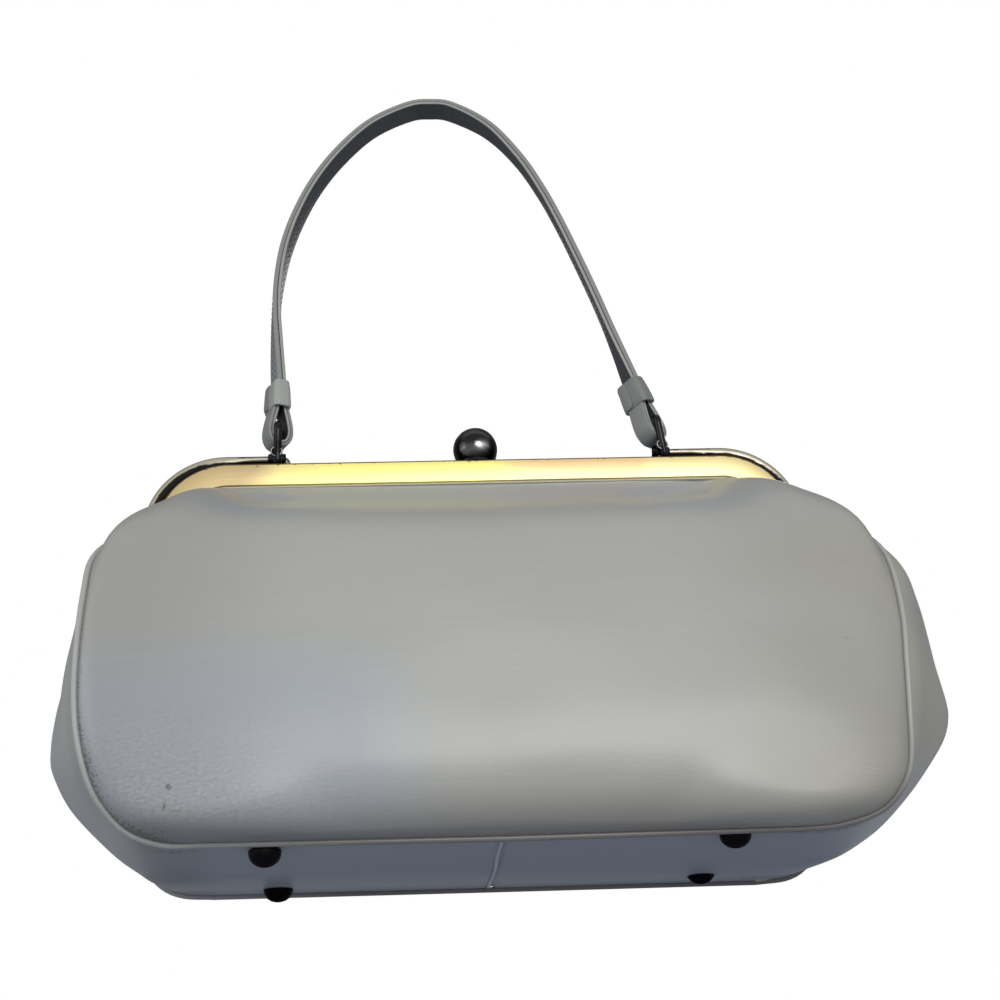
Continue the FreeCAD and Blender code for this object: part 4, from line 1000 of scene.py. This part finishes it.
def chrome_finish(name, light, dark, painted_highlight):
    """Dark chrome in darker and lighter patches, brighter where painted highlights are laid on."""
    material, shader, tone = new_finish(name)
    place = tone.place()
    highlight = tone.painted("painted_highlight")
    rubs = place.times((1, 1, 3)).speckle(240, 4.0, 0.65)
    patches = place.speckle(130, 3.0)
    plate = patches.ease(0.42, 0.62).between(light, dark)
    # Painted highlights: the chrome turns towards the highlight colour where the painted number is high
    highlight_mix = highlight * (0.55 + rubs * 0.9)
    set_shader(shader, tone, Base_Color=highlight_mix.between(plate, painted_highlight), Metallic=1.0,
               Roughness=0.10 + rubs.ease(0.45, 0.8) * 0.14 + highlight * 0.2, Normal=rubs.relief(0.00002))
    return material


def painted_highlight_places(points, side):
    """Painted highlights on a ball half: a bright spot, a smear beside it and a faint ring near the crown.
    """
    out, fore, up = ((points - np.array([0, 0, BALL_UP])) / BALL).T
    across = out + 0.12 * up
    rise = 0.89 * up + 0.45 * side * fore
    spot = np.exp(-((across - 0.17) / 0.17) ** 2 - ((rise - 0.21) / 0.15) ** 2)
    smear = np.exp(-((rise - 0.10 - 0.22 * across) / 0.20) ** 2)
    smear = smear * ease(across, -0.82, -0.5) * ease(across, 0.62, 0.35)
    ring = np.exp(-((np.hypot(across, rise) - 0.86) / 0.09) ** 2) * ease(rise, 0.3, 0.7)
    return np.where(side * fore > 0.02, np.clip(0.75 * spot + 0.30 * smear + 0.14 * ring, 0, 1), 0.0)


ball_finish = chrome_finish("black_chrome", CHROME, CHROME_DEEP, CHROME_HIGHLIGHT)
lap_angle = math.asin((COLLAR_TOP - 0.2 - BALL_UP) / BALL)
ball_profile = [(0.01, FRAME_TOP), (COLLAR - 0.3, FRAME_TOP), (COLLAR, FRAME_TOP + 0.3),
                (COLLAR, COLLAR_TOP - 0.35), (COLLAR - 0.25, COLLAR_TOP)]
ball_profile += [(max(BALL * math.cos(a), 0.01), BALL_UP + BALL * math.sin(a))
                 for a in np.linspace(lap_angle, math.pi / 2, 30)]
for side, label in ENDS:
    half = loft_piece(label + "_lock_ball", lathe_rings(ball_profile, (0, 0, 0), 72))
    cutter = bmesh.new()
    cutter.from_mesh(half.data)
    cut = bmesh.ops.bisect_plane(cutter, geom=cutter.verts[:] + cutter.edges[:] + cutter.faces[:],
                                 plane_co=(0, side * BALL_GAP * MM, 0), plane_no=(0, -side, 0),
                                 clear_outer=True)
    rim = [item for item in cut["geom_cut"] if isinstance(item, bmesh.types.BMEdge)]
    bmesh.ops.edgeloop_fill(cutter, edges=rim)
    bmesh.ops.bevel(cutter, geom=rim, offset=0.25 * MM, segments=2, affect="EDGES")
    cutter.to_mesh(half.data)
    cutter.free()
    points = np.array([vertex.co for vertex in half.data.vertices]) / MM
    # Painted highlights on this half
    paint(half, "painted_highlight", painted_highlight_places(points, side))
    settle(half, 35)
    dress(half, ball_finish, "dark_chrome", label + "_ball_half")
    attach(half, label + "_frame")
lock_finish = steel_finish("lock_steel", (0.5, 0.49, 0.47), 0.22)
for name in ("snap_stud", "snap_socket"):
    cover_node(name, lock_finish)

# Handle wires: brass wire bent over each corner of the rear rail and soldered to it at both ends,
# flattened at the bend; the handle's links slide and swing on them. Worn dull, and dark along its lower
# side and in a thin line on top as painted shade and reflection, partly grime; at the bend a dark fin
# fills the shaded gap above the rail as painted shade.
WIRE, WIRE_BACK, WIRE_UP, WIRE_OUT = 1.45, 3.5, 159.4, 122.3
WIRE_INNER, WIRE_FOOT = 71.2, 124.0
# Inward widening of the wire at the bend, painted dark to fill the shaded gap above the rail: painted shade
WIRE_DARK_FILL = 1.7
WIRE_CORNERS = [(WIRE_INNER, FRAME_TOP - 0.5), (WIRE_INNER, WIRE_UP), (WIRE_OUT, WIRE_UP),
                (WIRE_OUT, WIRE_FOOT), (FRAME_HALF - 0.5, WIRE_FOOT)]
WIRE_BENDS = (2.4, 28, 2.4)
# Dull gilt, and the dark of painted shade and reflection on its lower side, partly grime
WIRE_DULL, WIRE_GRIME_AND_SHADE = (0.36, 0.33, 0.26), (0.010, 0.008, 0.006)


def shaded_gilt_finish():
    """Dull gilt that darkens with the painted number: painted shade and reflection, partly grime."""
    material, shader, tone = new_finish("gilt_grime_and_shade")
    place = tone.place()
    grime_and_shade = tone.painted("grime_and_shade")
    rubs = place.times((1, 3, 3)).speckle(260, 3.0, 0.6)
    dark = (grime_and_shade + (rubs - 0.5) * 0.5).ease(0.25, 0.6)
    set_shader(shader, tone, Base_Color=dark.between(WIRE_DULL, WIRE_GRIME_AND_SHADE), Metallic=1.0 - dark * 0.2,
               Roughness=0.24 + rubs * 0.14 + dark * 0.3, Normal=rubs.relief(0.00002))
    return material


def bent_path(points, radii, step=0.8):
    """Points along straight runs joined by tangent arcs."""
    points = [np.array(point, float) for point in points]
    path = [points[0]]
    for before, corner, after, radius in zip(points, points[1:], points[2:], radii):
        arrive = (corner - before) / np.linalg.norm(corner - before)
        leave = (after - corner) / np.linalg.norm(after - corner)
        turn = math.acos(np.clip(arrive @ leave, -1, 1))
        run = radius * math.tan(turn / 2)
        side = leave - arrive * (arrive @ leave)
        side = side / np.linalg.norm(side)
        start = corner - arrive * run
        straight = max(int(np.linalg.norm(start - path[-1]) / (step * 4)), 1)
        path += [path[-1] + (start - path[-1]) * k / straight for k in range(1, straight)]
        for angle in np.linspace(0, turn, max(int(radius * turn / step), 5)):
            path.append(start + arrive * radius * math.sin(angle) + side * radius * (1 - math.cos(angle)))
    straight = max(int(np.linalg.norm(points[-1] - path[-1]) / (step * 4)), 1)
    return path + [path[-1] + (points[-1] - path[-1]) * k / straight for k in range(1, straight + 1)]


wire_finish = shaded_gilt_finish()
for hand, place in HANDS:
    path = np.array(bent_path([(hand * x, WIRE_BACK, z) for x, z in WIRE_CORNERS], WIRE_BENDS))
    rings = np.array(round_rings(path, WIRE, 16))
    from_path = rings - path[:, None]
    centre = FRAME_HALF - FRAME_CORNER
    inward = np.stack([hand * np.minimum(hand * path[:, 0], centre) - path[:, 0], 0 * path[:, 0],
                       np.minimum(path[:, 2], FRAME_TOP - FRAME_CORNER) - path[:, 2]], 1)
    inward = inward / np.linalg.norm(inward, axis=1)[:, None]
    inner = np.einsum("ijk,ik->ij", from_path, inward) / WIRE
    at_corner = ease(hand * path[:, 0], centre - 8, centre + 4) * ease(path[:, 2], 126, 134)
    painted_dark_side = 0.89 * inner - 0.45 * inward[:, 2:] * from_path[..., 1] / WIRE + 0.40 * at_corner[:, None]
    # At the corner the wire's inner side is drawn inward into a dark fin: painted shade filling the gap
    # above the rail
    rings = rings + inward[:, None] * (WIRE_DARK_FILL * at_corner[:, None] * ease(inner, 0.0, 0.6))[..., None]
    wire = loft_piece("handle_wire_loop_" + place, rings)
    # Dark along the lower side and in a thin line on top: painted shade and reflection, partly grime
    paint(wire, "grime_and_shade", ease(painted_dark_side, 0.12, 0.35) + 0.45 * ease(painted_dark_side, -0.3, -0.5))
    settle(wire, 50)
    dress(wire, wire_finish, "pale_gold", "handle_wire_" + place)
    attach(wire, "rear_frame")

# Handle links: blackened steel wire closed into a narrow triangle, its foot hooked round a black sleeve
# on the handle wire, its upper bar inside the strap's loop. A round stud closes its foot, with a thin
# ring on it painted bright as a painted highlight.
LINK_AT = {-1: 75.0, 1: 71.8}
LINK_WIRE, LINK_TOP, LINK_HALF = 1.55, 12.6, 6.2
LOOP_UP = 9.0
LINK_TURN = 5.0
HANDLE_TURN = {-1: 26.0, 1: 36.0}
LEAN = {-1: 0.0, 1: 16.5}
SLEEVE, SLEEVE_HALF = 2.3, 3.4
LINK_BEND = SLEEVE + LINK_WIRE + 0.1
STUD = [(0.01, 0.0), (2.3, 0.0), (2.3, 0.5), (1.9, 1.0), (1.0, 1.25), (0.01, 1.3)]


def handle_place(hand, lean, turned):
    """Frame of a strap end above the handle wire, turned to the front and leaning with the strap."""
    turn = Matrix.Rotation(math.radians(turned), 4, "Z")
    tilt = Matrix.Rotation(math.radians(-lean), 4, "Y")
    return Matrix.Translation((hand * LINK_AT[hand], WIRE_BACK, WIRE_UP)) @ tilt @ turn


def placed(matrix, points):
    """Points in millimetres carried by a frame."""
    return [tuple(matrix @ Vector(point)) for point in points]


link_finish = chrome_finish("black_nickel", (0.022, 0.022, 0.024), (0.008, 0.008, 0.010), (0.4, 0.4, 0.4))
for hand, place in HANDS:
    at = handle_place(hand, LEAN[hand] * 0.5, LINK_TURN)
    corners = [(0, 0, LINK_TOP), (0, LINK_HALF, LINK_TOP), (0, LINK_BEND, -LINK_BEND),
               (0, -LINK_BEND, -LINK_BEND), (0, -LINK_HALF, LINK_TOP), (0, 0, LINK_TOP)]
    path = placed(at, bent_path(corners, (1.6, 2.2, 2.2, 1.6), 0.5))
    link = loft_piece("handle_link_" + place + "_wire", round_rings(path[:-1], LINK_WIRE, 12), True)
    on_wire = Matrix.Translation((hand * LINK_AT[hand], WIRE_BACK, WIRE_UP))
    tube = [placed(on_wire, round_rings([(x, 0, 0), (x + 0.1, 0, 0)], size, 20)[0])
            for x, size in ((-SLEEVE_HALF, SLEEVE - 0.3), (-SLEEVE_HALF + 0.3, SLEEVE),
                            (SLEEVE_HALF - 0.3, SLEEVE), (SLEEVE_HALF, SLEEVE - 0.3))]
    sleeve = loft_piece("wire_sleeve_" + place, tube)
    forward = on_wire @ Matrix.Translation((0, -LINK_BEND - 0.6, 1.0))
    forward = forward @ Matrix.Rotation(math.pi / 2, 4, "X")
    stud_rings = [placed(forward, ring) for ring in lathe_rings(STUD, (0, 0, 0), 28)]
    stud = loft_piece("link_stud_" + place, stud_rings)
    turn = np.linspace(0, 2 * math.pi, 29)[:-1]
    ring_path = placed(forward, np.stack([1.95 * np.cos(turn), 1.95 * np.sin(turn), np.full(28, 0.85)], 1))
    highlight_ring = loft_piece("stud_ring_" + place, round_rings(ring_path, 0.22, 8), True)
    # The ring on the stud is painted bright as a painted highlight; the rest stays dark
    for part, highlight in ((link, 0.0), (sleeve, 0.0), (stud, 0.0), (highlight_ring, 0.9)):
        paint(part, "painted_highlight", np.full(len(part.data.vertices), highlight))
    join(link, sleeve, stud, highlight_ring)
    settle(link, 60)
    dress(link, link_finish, "dark_chrome", "handle_link_" + place)
    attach(link, "handle")

# Handle strap: two layers of calf glued and stitched through, edges painted and rounded. Each end
# turns round its link into a doubled loop and is gripped by a short sleeve, the keeper.
STRAP_WIDE, STRAP_GAP = 9.0, 0.12
STRAP_LAYER = {"outer": 1.85, "inner": 1.35}
STRAP_LINE = [(-74.2, 184.5), (-74.9, 197), (-75.5, 211), (-75.8, 225), (-74.8, 239), (-72.3, 254.4),
              (-67.5, 270.2), (-60.1, 286.7), (-49.8, 302.4), (-36.5, 316.6), (-21, 325.4),
              (-11.6, 326.9), (-2.4, 325.4), (12.7, 315.7), (24.9, 299.9), (33.6, 282.8), (40.2, 266),
              (46.8, 246.6), (52.6, 228.3), (57.9, 209.6), (61.6, 196), (64.7, 184)]
# Twist of the strap along its run, in degrees
STRAP_TWIST = [(0, 26), (0.05, 20), (0.12, 6), (0.18, -4), (0.27, -10), (0.50, -11), (0.58, 0),
               (0.65, 8), (0.86, 8), (0.93, 1), (1.0, -20)]
STITCH_PITCH, STITCH_INSET, STITCH_HALF, STITCH_SUNK = 2.8, 3.1, 0.7, 0.25
THREAD, THREAD_SIDES = 0.22, 6
LOOP_WIDE, LOOP_LAYER = 8.0, 1.1
STRAP_GREY = (0.215, 0.225, 0.220)
STRAP_COOL = (0.185, 0.200, 0.225)
# Near black of the strap's and loops' inner layer: painted shade on faces that lie in shadow
STRAP_SHADE_DARK = (0.036, 0.040, 0.047)
STRAP_RIM, STRAP_LIGHT_RIM = (0.215, 0.220, 0.205), (0.31, 0.32, 0.295)


def strap_finish(name, grey, cool, edge_paint_and_lit_grey):
    """Strap calf, darker than the bag, its painted edges polished by the hand."""
    material, shader, tone = new_finish(name)
    cut = tone.cut_map()
    hairs = cut.times((140, 700, 1)).speckle(1.0, 3.0, 0.6)
    pores = cut.speckle(2300, 2.0)
    patches = cut.speckle(38, 2.0)
    rim = tone.painted("rim")
    body = patches.ease(0.3, 0.7).between(grey, cool)
    # On the keepers the edge colour is a lit grey: painted light
    colour = (rim * (0.72 + hairs * 0.4)).between(body, edge_paint_and_lit_grey)
    set_shader(shader, tone, Base_Color=colour, Roughness=0.46 + hairs * 0.10 - rim * 0.12,
               Normal=(hairs * 0.5 + pores * 0.5).relief(0.00003), Coat_Weight=0.12, Coat_Roughness=0.3)
    return material


def strip_outline(wide, thick, round_off):
    """Rounded rectangle across a strip: (across its face, through its thickness)."""
    outline = []
    for sx, sy, start in ((1, 1, 0), (-1, 1, 90), (-1, -1, 180), (1, -1, 270)):
        for angle in np.radians(np.linspace(start, start + 90, 6)):
            outline.append((sx * (wide / 2 - round_off) + round_off * math.cos(angle),
                            sy * (thick / 2 - round_off) + round_off * math.sin(angle)))
    return np.array(outline)


def strip_rings(path, face, offset, outline):
    """Rings of a strip along a path; face points out of it at each point, offset moves it that way."""
    ahead = directions(path)
    face = face - ahead * np.sum(face * ahead, axis=1)[:, None]
    face /= np.linalg.norm(face, axis=1)[:, None]
    beside = np.cross(ahead, face)
    centre = path + face * offset
    return [c + np.outer(outline[:, 0], b) + np.outer(outline[:, 1], f)
            for c, b, f in zip(centre, beside, face)]


def paint_rim(piece, outline, start, count):
    """Mark the painted edges of a strip, from a start this far in from each edge."""
    half = outline[:, 0].max()
    paint(piece, "rim", np.tile(ease(np.abs(outline[:, 0]), half - start, half - 0.2), count))


strap_calf = strap_finish("strap_calf", STRAP_GREY, STRAP_COOL, STRAP_RIM)
# Inner layer finish, near black as painted shade
strap_back_shade = strap_finish("strap_back_shade_calf", STRAP_SHADE_DARK, STRAP_SHADE_DARK, STRAP_LIGHT_RIM)
arch = smooth_line(STRAP_LINE, 190)
strap_path = np.stack([arch[:, 0], np.full(len(arch), WIRE_BACK), arch[:, 1]], 1)
ahead = directions(strap_path)
flat_face = np.stack([-ahead[:, 2], np.zeros(len(arch)), ahead[:, 0]], 1)
twist = np.radians(smooth_value(STRAP_TWIST, np.linspace(0, 1, len(arch))))
strap_face = flat_face * np.cos(twist)[:, None] + np.cross(ahead, flat_face) * np.sin(twist)[:, None]
for label, sign, finish in (("outer", 1, strap_calf), ("inner", -1, strap_back_shade)):
    thick = STRAP_LAYER[label]
    outline = strip_outline(STRAP_WIDE, thick, 0.55)
    rings = strip_rings(strap_path, strap_face, sign * (thick + STRAP_GAP) / 2, outline)
    strap = loft_piece("strap_%s_layer" % label, rings)
    paint_rim(strap, outline, 0.5, len(rings))
    settle(strap, 50)
    dress(strap, finish, "strap_leather", "handle_strap_" + label)
    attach(strap, "handle")


def thread_finish():
    """Dark waxed thread."""
    material, shader, tone = new_finish("waxed_thread")
    place = tone.place()
    ply = place.speckle(3000, 2.0)
    set_shader(shader, tone, Base_Color=ply.between((0.03, 0.032, 0.036), (0.09, 0.092, 0.096)),
               Roughness=0.6, Normal=ply.relief(0.00008))
    return material


strap_run = run_along(strap_path)
stitch_spots = np.arange(10, strap_run[-1] - 10, STITCH_PITCH)
strap_beside = np.cross(ahead, strap_face)
stitches = []
for row in (-1, 1):
    for cover, thick in ((-1, STRAP_LAYER["inner"]), (1, STRAP_LAYER["outer"])):
        for spot in stitch_spots:
            ends = []
            for reach in (-STITCH_HALF, 0.0, STITCH_HALF):
                at, face, beside = [np.array([np.interp(spot + reach, strap_run, axis) for axis in field.T])
                                    for field in (strap_path, strap_face, strap_beside)]
                level = thick + STRAP_GAP / 2 + 0.05 - (STITCH_SUNK if reach else 0.0)
                ends.append(at + face * cover * level + beside * row * (STRAP_WIDE / 2 - STITCH_INSET))
            stitches.append(round_rings(ends, THREAD, THREAD_SIDES))
stitching = bpy.data.objects.new("strap_stitching", bpy.data.meshes.new("strap_stitching"))
bpy.context.scene.collection.objects.link(stitching)
stack = bmesh.new()
for rings in stitches:
    corners = [[stack.verts.new(Vector(point) * MM) for point in ring] for ring in rings]
    for first, second in zip(corners, corners[1:]):
        for k in range(THREAD_SIDES):
            after = (k + 1) % THREAD_SIDES
            stack.faces.new((first[k], first[after], second[after], second[k]))
    stack.faces.new(corners[0][::-1])
    stack.faces.new(corners[-1])
bmesh.ops.recalc_face_normals(stack, faces=stack.faces)
stack.to_mesh(stitching.data)
stack.free()
settle(stitching, 60)
stitching.data.materials.clear()
stitching.data.materials.append(thread_finish())
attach(stitching, "handle")

# Strap ends: the doubled loops round the links, and the keepers, sleeves of calf drawn round the
# strap and sewn at the back, with one edge lapped over the other.
LOOP_LINE = [(0.0, -2.8), (1.9, -2.0), (3.0, 0.2), (3.15, 3.0), (2.7, 6.0), (2.1, 8.8), (1.5, 11.6),
             (1.15, 17.0)]
KEEPER_LOW, KEEPER_HIGH = 11.8, 23.4
KEEPER_WIDE, KEEPER_DEEP, KEEPER_WALL = 11.4, 6.6, 1.3
# Lit grey and shaded grey of the keepers; the share of lit grey is painted light on the left keeper and
# painted shade on the right one
KEEPER_LIT_GREY, KEEPER_SHADE = (0.325, 0.335, 0.32), (0.148, 0.156, 0.148)
KEEPER_LIT_SHARE = {-1: 1.0, 1: 0.15}
FLAP_WIDE, FLAP_THICK = 4.6, 0.55


def keeper_rings(low, high):
    """Sleeve as rings that go up the outside, over the rim and down the inside."""
    rings = []
    for height, grow in ((low, -0.15), (low + 0.35, 0.0), (low + 2.5, 0.1), ((low + high) / 2, 0.15),
                         (high - 2.5, 0.05), (high - 0.35, -0.1), (high, -0.3),
                         (high - 0.1, -KEEPER_WALL + 0.25), (high - 0.6, -KEEPER_WALL),
                         (low + 0.6, -KEEPER_WALL), (low + 0.1, -KEEPER_WALL + 0.2)):
        taper = 1.08 - 0.12 * (height - low) / (high - low)
        outline = strip_outline((KEEPER_WIDE + 2 * grow) * taper, (KEEPER_DEEP + 2 * grow) * taper,
                                2.0 + grow * 0.6)
        rings.append([(x, y, height) for y, x in outline])
    return rings


def loop_rings(offset):
    """One layer of the end loop: down one side, round the bar and up the other."""
    right = smooth_line(LOOP_LINE, 40)
    whole = np.vstack([right[::-1] * np.array([-1, 1]), right[1:]])
    path = np.stack([whole[:, 0], np.zeros(len(whole)), whole[:, 1]], 1)
    ahead = np.gradient(path, axis=0)
    face = np.stack([ahead[:, 2], np.zeros(len(path)), -ahead[:, 0]], 1)
    return strip_rings(path, face, offset, strip_outline(LOOP_WIDE, LOOP_LAYER, 0.45))


# Keeper calf: the rim number lays the lit grey over whole keepers, as painted light and shade
keeper_calf = strap_finish("keeper_calf", KEEPER_SHADE, KEEPER_SHADE, KEEPER_LIT_GREY)
for hand, place in HANDS:
    at = handle_place(hand, LEAN[hand], HANDLE_TURN[hand]) @ Matrix.Translation((0, 0, LOOP_UP))
    # The inner layer of each loop is near black as painted shade
    for layer, offset, finish in (("inner", 0.0, strap_back_shade), ("outer", LOOP_LAYER + 0.08, strap_calf)):
        outline = strip_outline(LOOP_WIDE, LOOP_LAYER, 0.45)
        rings = [placed(at, ring) for ring in loop_rings(offset)]
        loop = loft_piece("end_loop_%s_%s" % (layer, place), rings)
        paint_rim(loop, outline, 0.45, len(rings))
        settle(loop, 50)
        dress(loop, finish, "strap_leather", "handle_loop_" + place)
        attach(loop, "handle")
    sleeve_rings = [placed(at, ring) for ring in keeper_rings(KEEPER_LOW, KEEPER_HIGH)]
    sleeve = loft_piece("strap_keeper_" + place, sleeve_rings, True)
    flap_up = np.linspace(-1, 1, 15)
    flap_path = [(-3.3 - FLAP_THICK / 2 + 0.3 * step, 2.4, (KEEPER_LOW + KEEPER_HIGH) / 2 + step * 5.4)
                 for step in flap_up]
    flap_rings = []
    for spot, step in zip(flap_path, flap_up):
        outline = strip_outline(FLAP_WIDE * (1 - 0.35 * step ** 8),
                                FLAP_THICK * (1 - 0.4 * step ** 8), 0.28)
        flap_rings.append([(spot[0] + x, spot[1] + y, spot[2]) for y, x in outline])
    flap = loft_piece("keeper_flap_" + place, [placed(at, ring) for ring in flap_rings])
    # Share of lit grey on the keeper and its flap: painted light and shade
    for part, rim in ((sleeve, KEEPER_LIT_SHARE[hand]), (flap, 0.2)):
        paint(part, "rim", np.full(len(part.data.vertices), rim))
    join(sleeve, flap)
    settle(sleeve, 45)
    dress(sleeve, keeper_calf, "strap_leather", "handle_keeper_" + place)
    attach(sleeve, "handle")

# Studio: a pale floor that shows only from above, a white surround, and large soft lamps in front,
# at the left and behind.
FLOOR_HALF = 4.0
FLOOR_PALE = (0.80, 0.80, 0.80)
floor_mesh = bpy.data.meshes.new("studio_floor")
floor_corners = [(x * FLOOR_HALF, y * FLOOR_HALF, 0) for x, y in ((-1, -1), (1, -1), (1, 1), (-1, 1))]
floor_mesh.from_pydata(floor_corners, [], [(0, 1, 2, 3)])
floor = bpy.data.objects.new("studio_floor", floor_mesh)
bpy.context.scene.collection.objects.link(floor)
floor_finish, floor_shader, tone = new_finish("studio_floor")
set_shader(floor_shader, tone, Base_Color=FLOOR_PALE, Roughness=0.9, Specular_IOR_Level=0.1)
below = tone.node("ShaderNodeNewGeometry", {}, {}, 6)
shadow_ray = tone.node("ShaderNodeLightPath", {}, {}, 1)
diffuse_ray = tone.node("ShaderNodeLightPath", {}, {}, 2)
clear = tone.node("ShaderNodeBsdfTransparent", {}, {})
unseen = tone.maths("MAXIMUM", below, tone.maths("MAXIMUM", shadow_ray, diffuse_ray))
opaque = Tone(tone.tree, floor_shader.outputs[0])
shown = tone.node("ShaderNodeMixShader", {}, {0: unseen, 1: opaque, 2: clear})
tone.feed(tone.tree.nodes["Material Output"].inputs["Surface"], shown)
floor_mesh.materials.append(floor_finish)

# The surround looks white. As light it is cool and low, a little stronger from below, and strong from
# the front above the floor; polished things see it white in front and grey behind.
SHADE_LIGHT, UNDER_LIGHT = (0.130, 0.141, 0.172), (0.275, 0.296, 0.358)
FRONT_LIGHT = (1.49, 1.45, 1.37)
FRONT_WAY = (0, -1, 0)
FRONT_WRAP, ROOF_SHARE = 0.5, 0.2
BEHIND_GREY = (0.20, 0.21, 0.23)
world = bpy.data.worlds.new("studio_surround")
bpy.context.scene.world = world
world.use_nodes = True
tone = Tone(world.node_tree)
camera_ray = tone.node("ShaderNodeLightPath", {}, {}, 0)
glossy_ray = tone.node("ShaderNodeLightPath", {}, {}, 3)
way = tone.node("ShaderNodeTexCoord", {}, {}, 0)
rise = tone.node("ShaderNodeSeparateXYZ", {}, {0: way}, 2)
facing = tone.node("ShaderNodeVectorMath", {"operation": "DOT_PRODUCT"}, {0: way, 1: FRONT_WAY}, 1)
ahead_share = tone.maths("MAXIMUM", (facing + FRONT_WRAP) / (1 + FRONT_WRAP), 0.0) ** 1.6
ahead_share = ahead_share * rise.ease(-0.4, 0.0) * (ROOF_SHARE + rise.ease(0.85, 0.15) * (1 - ROOF_SHARE))
light = ahead_share.between(rise.ease(0.1, -0.4).between(SHADE_LIGHT, UNDER_LIGHT), FRONT_LIGHT)
mirrored = facing.ease(-0.3, 0.4).between(BEHIND_GREY, (1, 1, 1))
surround = world.node_tree.nodes["Background"]
tone.feed(surround.inputs["Color"], camera_ray.between(glossy_ray.between(light, mirrored), (1, 1, 1)))


def soft_lamp(name, place, aim, wide, tall, power):
    """A soft lamp that faces a point."""
    light = bpy.data.lights.new(name, "AREA")
    light.shape = "RECTANGLE"
    light.size = wide
    light.size_y = tall
    light.energy = power
    lamp = bpy.data.objects.new(name, light)
    bpy.context.scene.collection.objects.link(lamp)
    lamp.location = place
    lamp.rotation_mode = "QUATERNION"
    lamp.rotation_quaternion = (Vector(aim) - Vector(place)).to_track_quat("-Z", "Y")


soft_lamp("window_lamp", (0.22, -1.5, 0.40), (0, 0, 0.08), 0.7, 0.6, 7.0)
soft_lamp("left_lamp", (-1.4, -0.4, 0.4), (0, 0, 0.08), 1.0, 1.0, 4.0)
soft_lamp("back_lamp", (0.3, 1.5, 0.8), (0, 0, 0.1), 0.9, 0.9, 7.0)

# Camera at the photograph's place: low in front, looking up at the foot of the bag
CAMERA_AT = (-0.03708, -0.49880, -0.09541)
PITCH, YAW, ROLL = math.radians(25.085), math.radians(5.194), math.radians(-3.422)
FOCAL_PIXELS, IMAGE_PIXELS = 1473.9, 1000
level = Vector((math.sin(YAW), math.cos(YAW), 0))
ahead_line = level * math.cos(PITCH) + Vector((0, 0, math.sin(PITCH)))
right_line = Vector((math.cos(YAW), -math.sin(YAW), 0))
upright = Vector((0, 0, math.cos(PITCH))) - level * math.sin(PITCH)
camera_x = right_line * math.cos(ROLL) + upright * math.sin(ROLL)
camera_y = upright * math.cos(ROLL) - right_line * math.sin(ROLL)
camera_data = bpy.data.cameras.new("camera")
camera_data.sensor_width = 36.0
camera_data.lens = FOCAL_PIXELS / IMAGE_PIXELS * camera_data.sensor_width
camera_data.clip_start = 0.01
camera = bpy.data.objects.new("camera", camera_data)
bpy.context.scene.collection.objects.link(camera)
camera_axes = Matrix((camera_x, camera_y, -ahead_line)).transposed().to_4x4()
camera.matrix_world = Matrix.Translation(CAMERA_AT) @ camera_axes
bpy.context.scene.camera = camera
bpy.context.scene.view_settings.view_transform = "Standard"
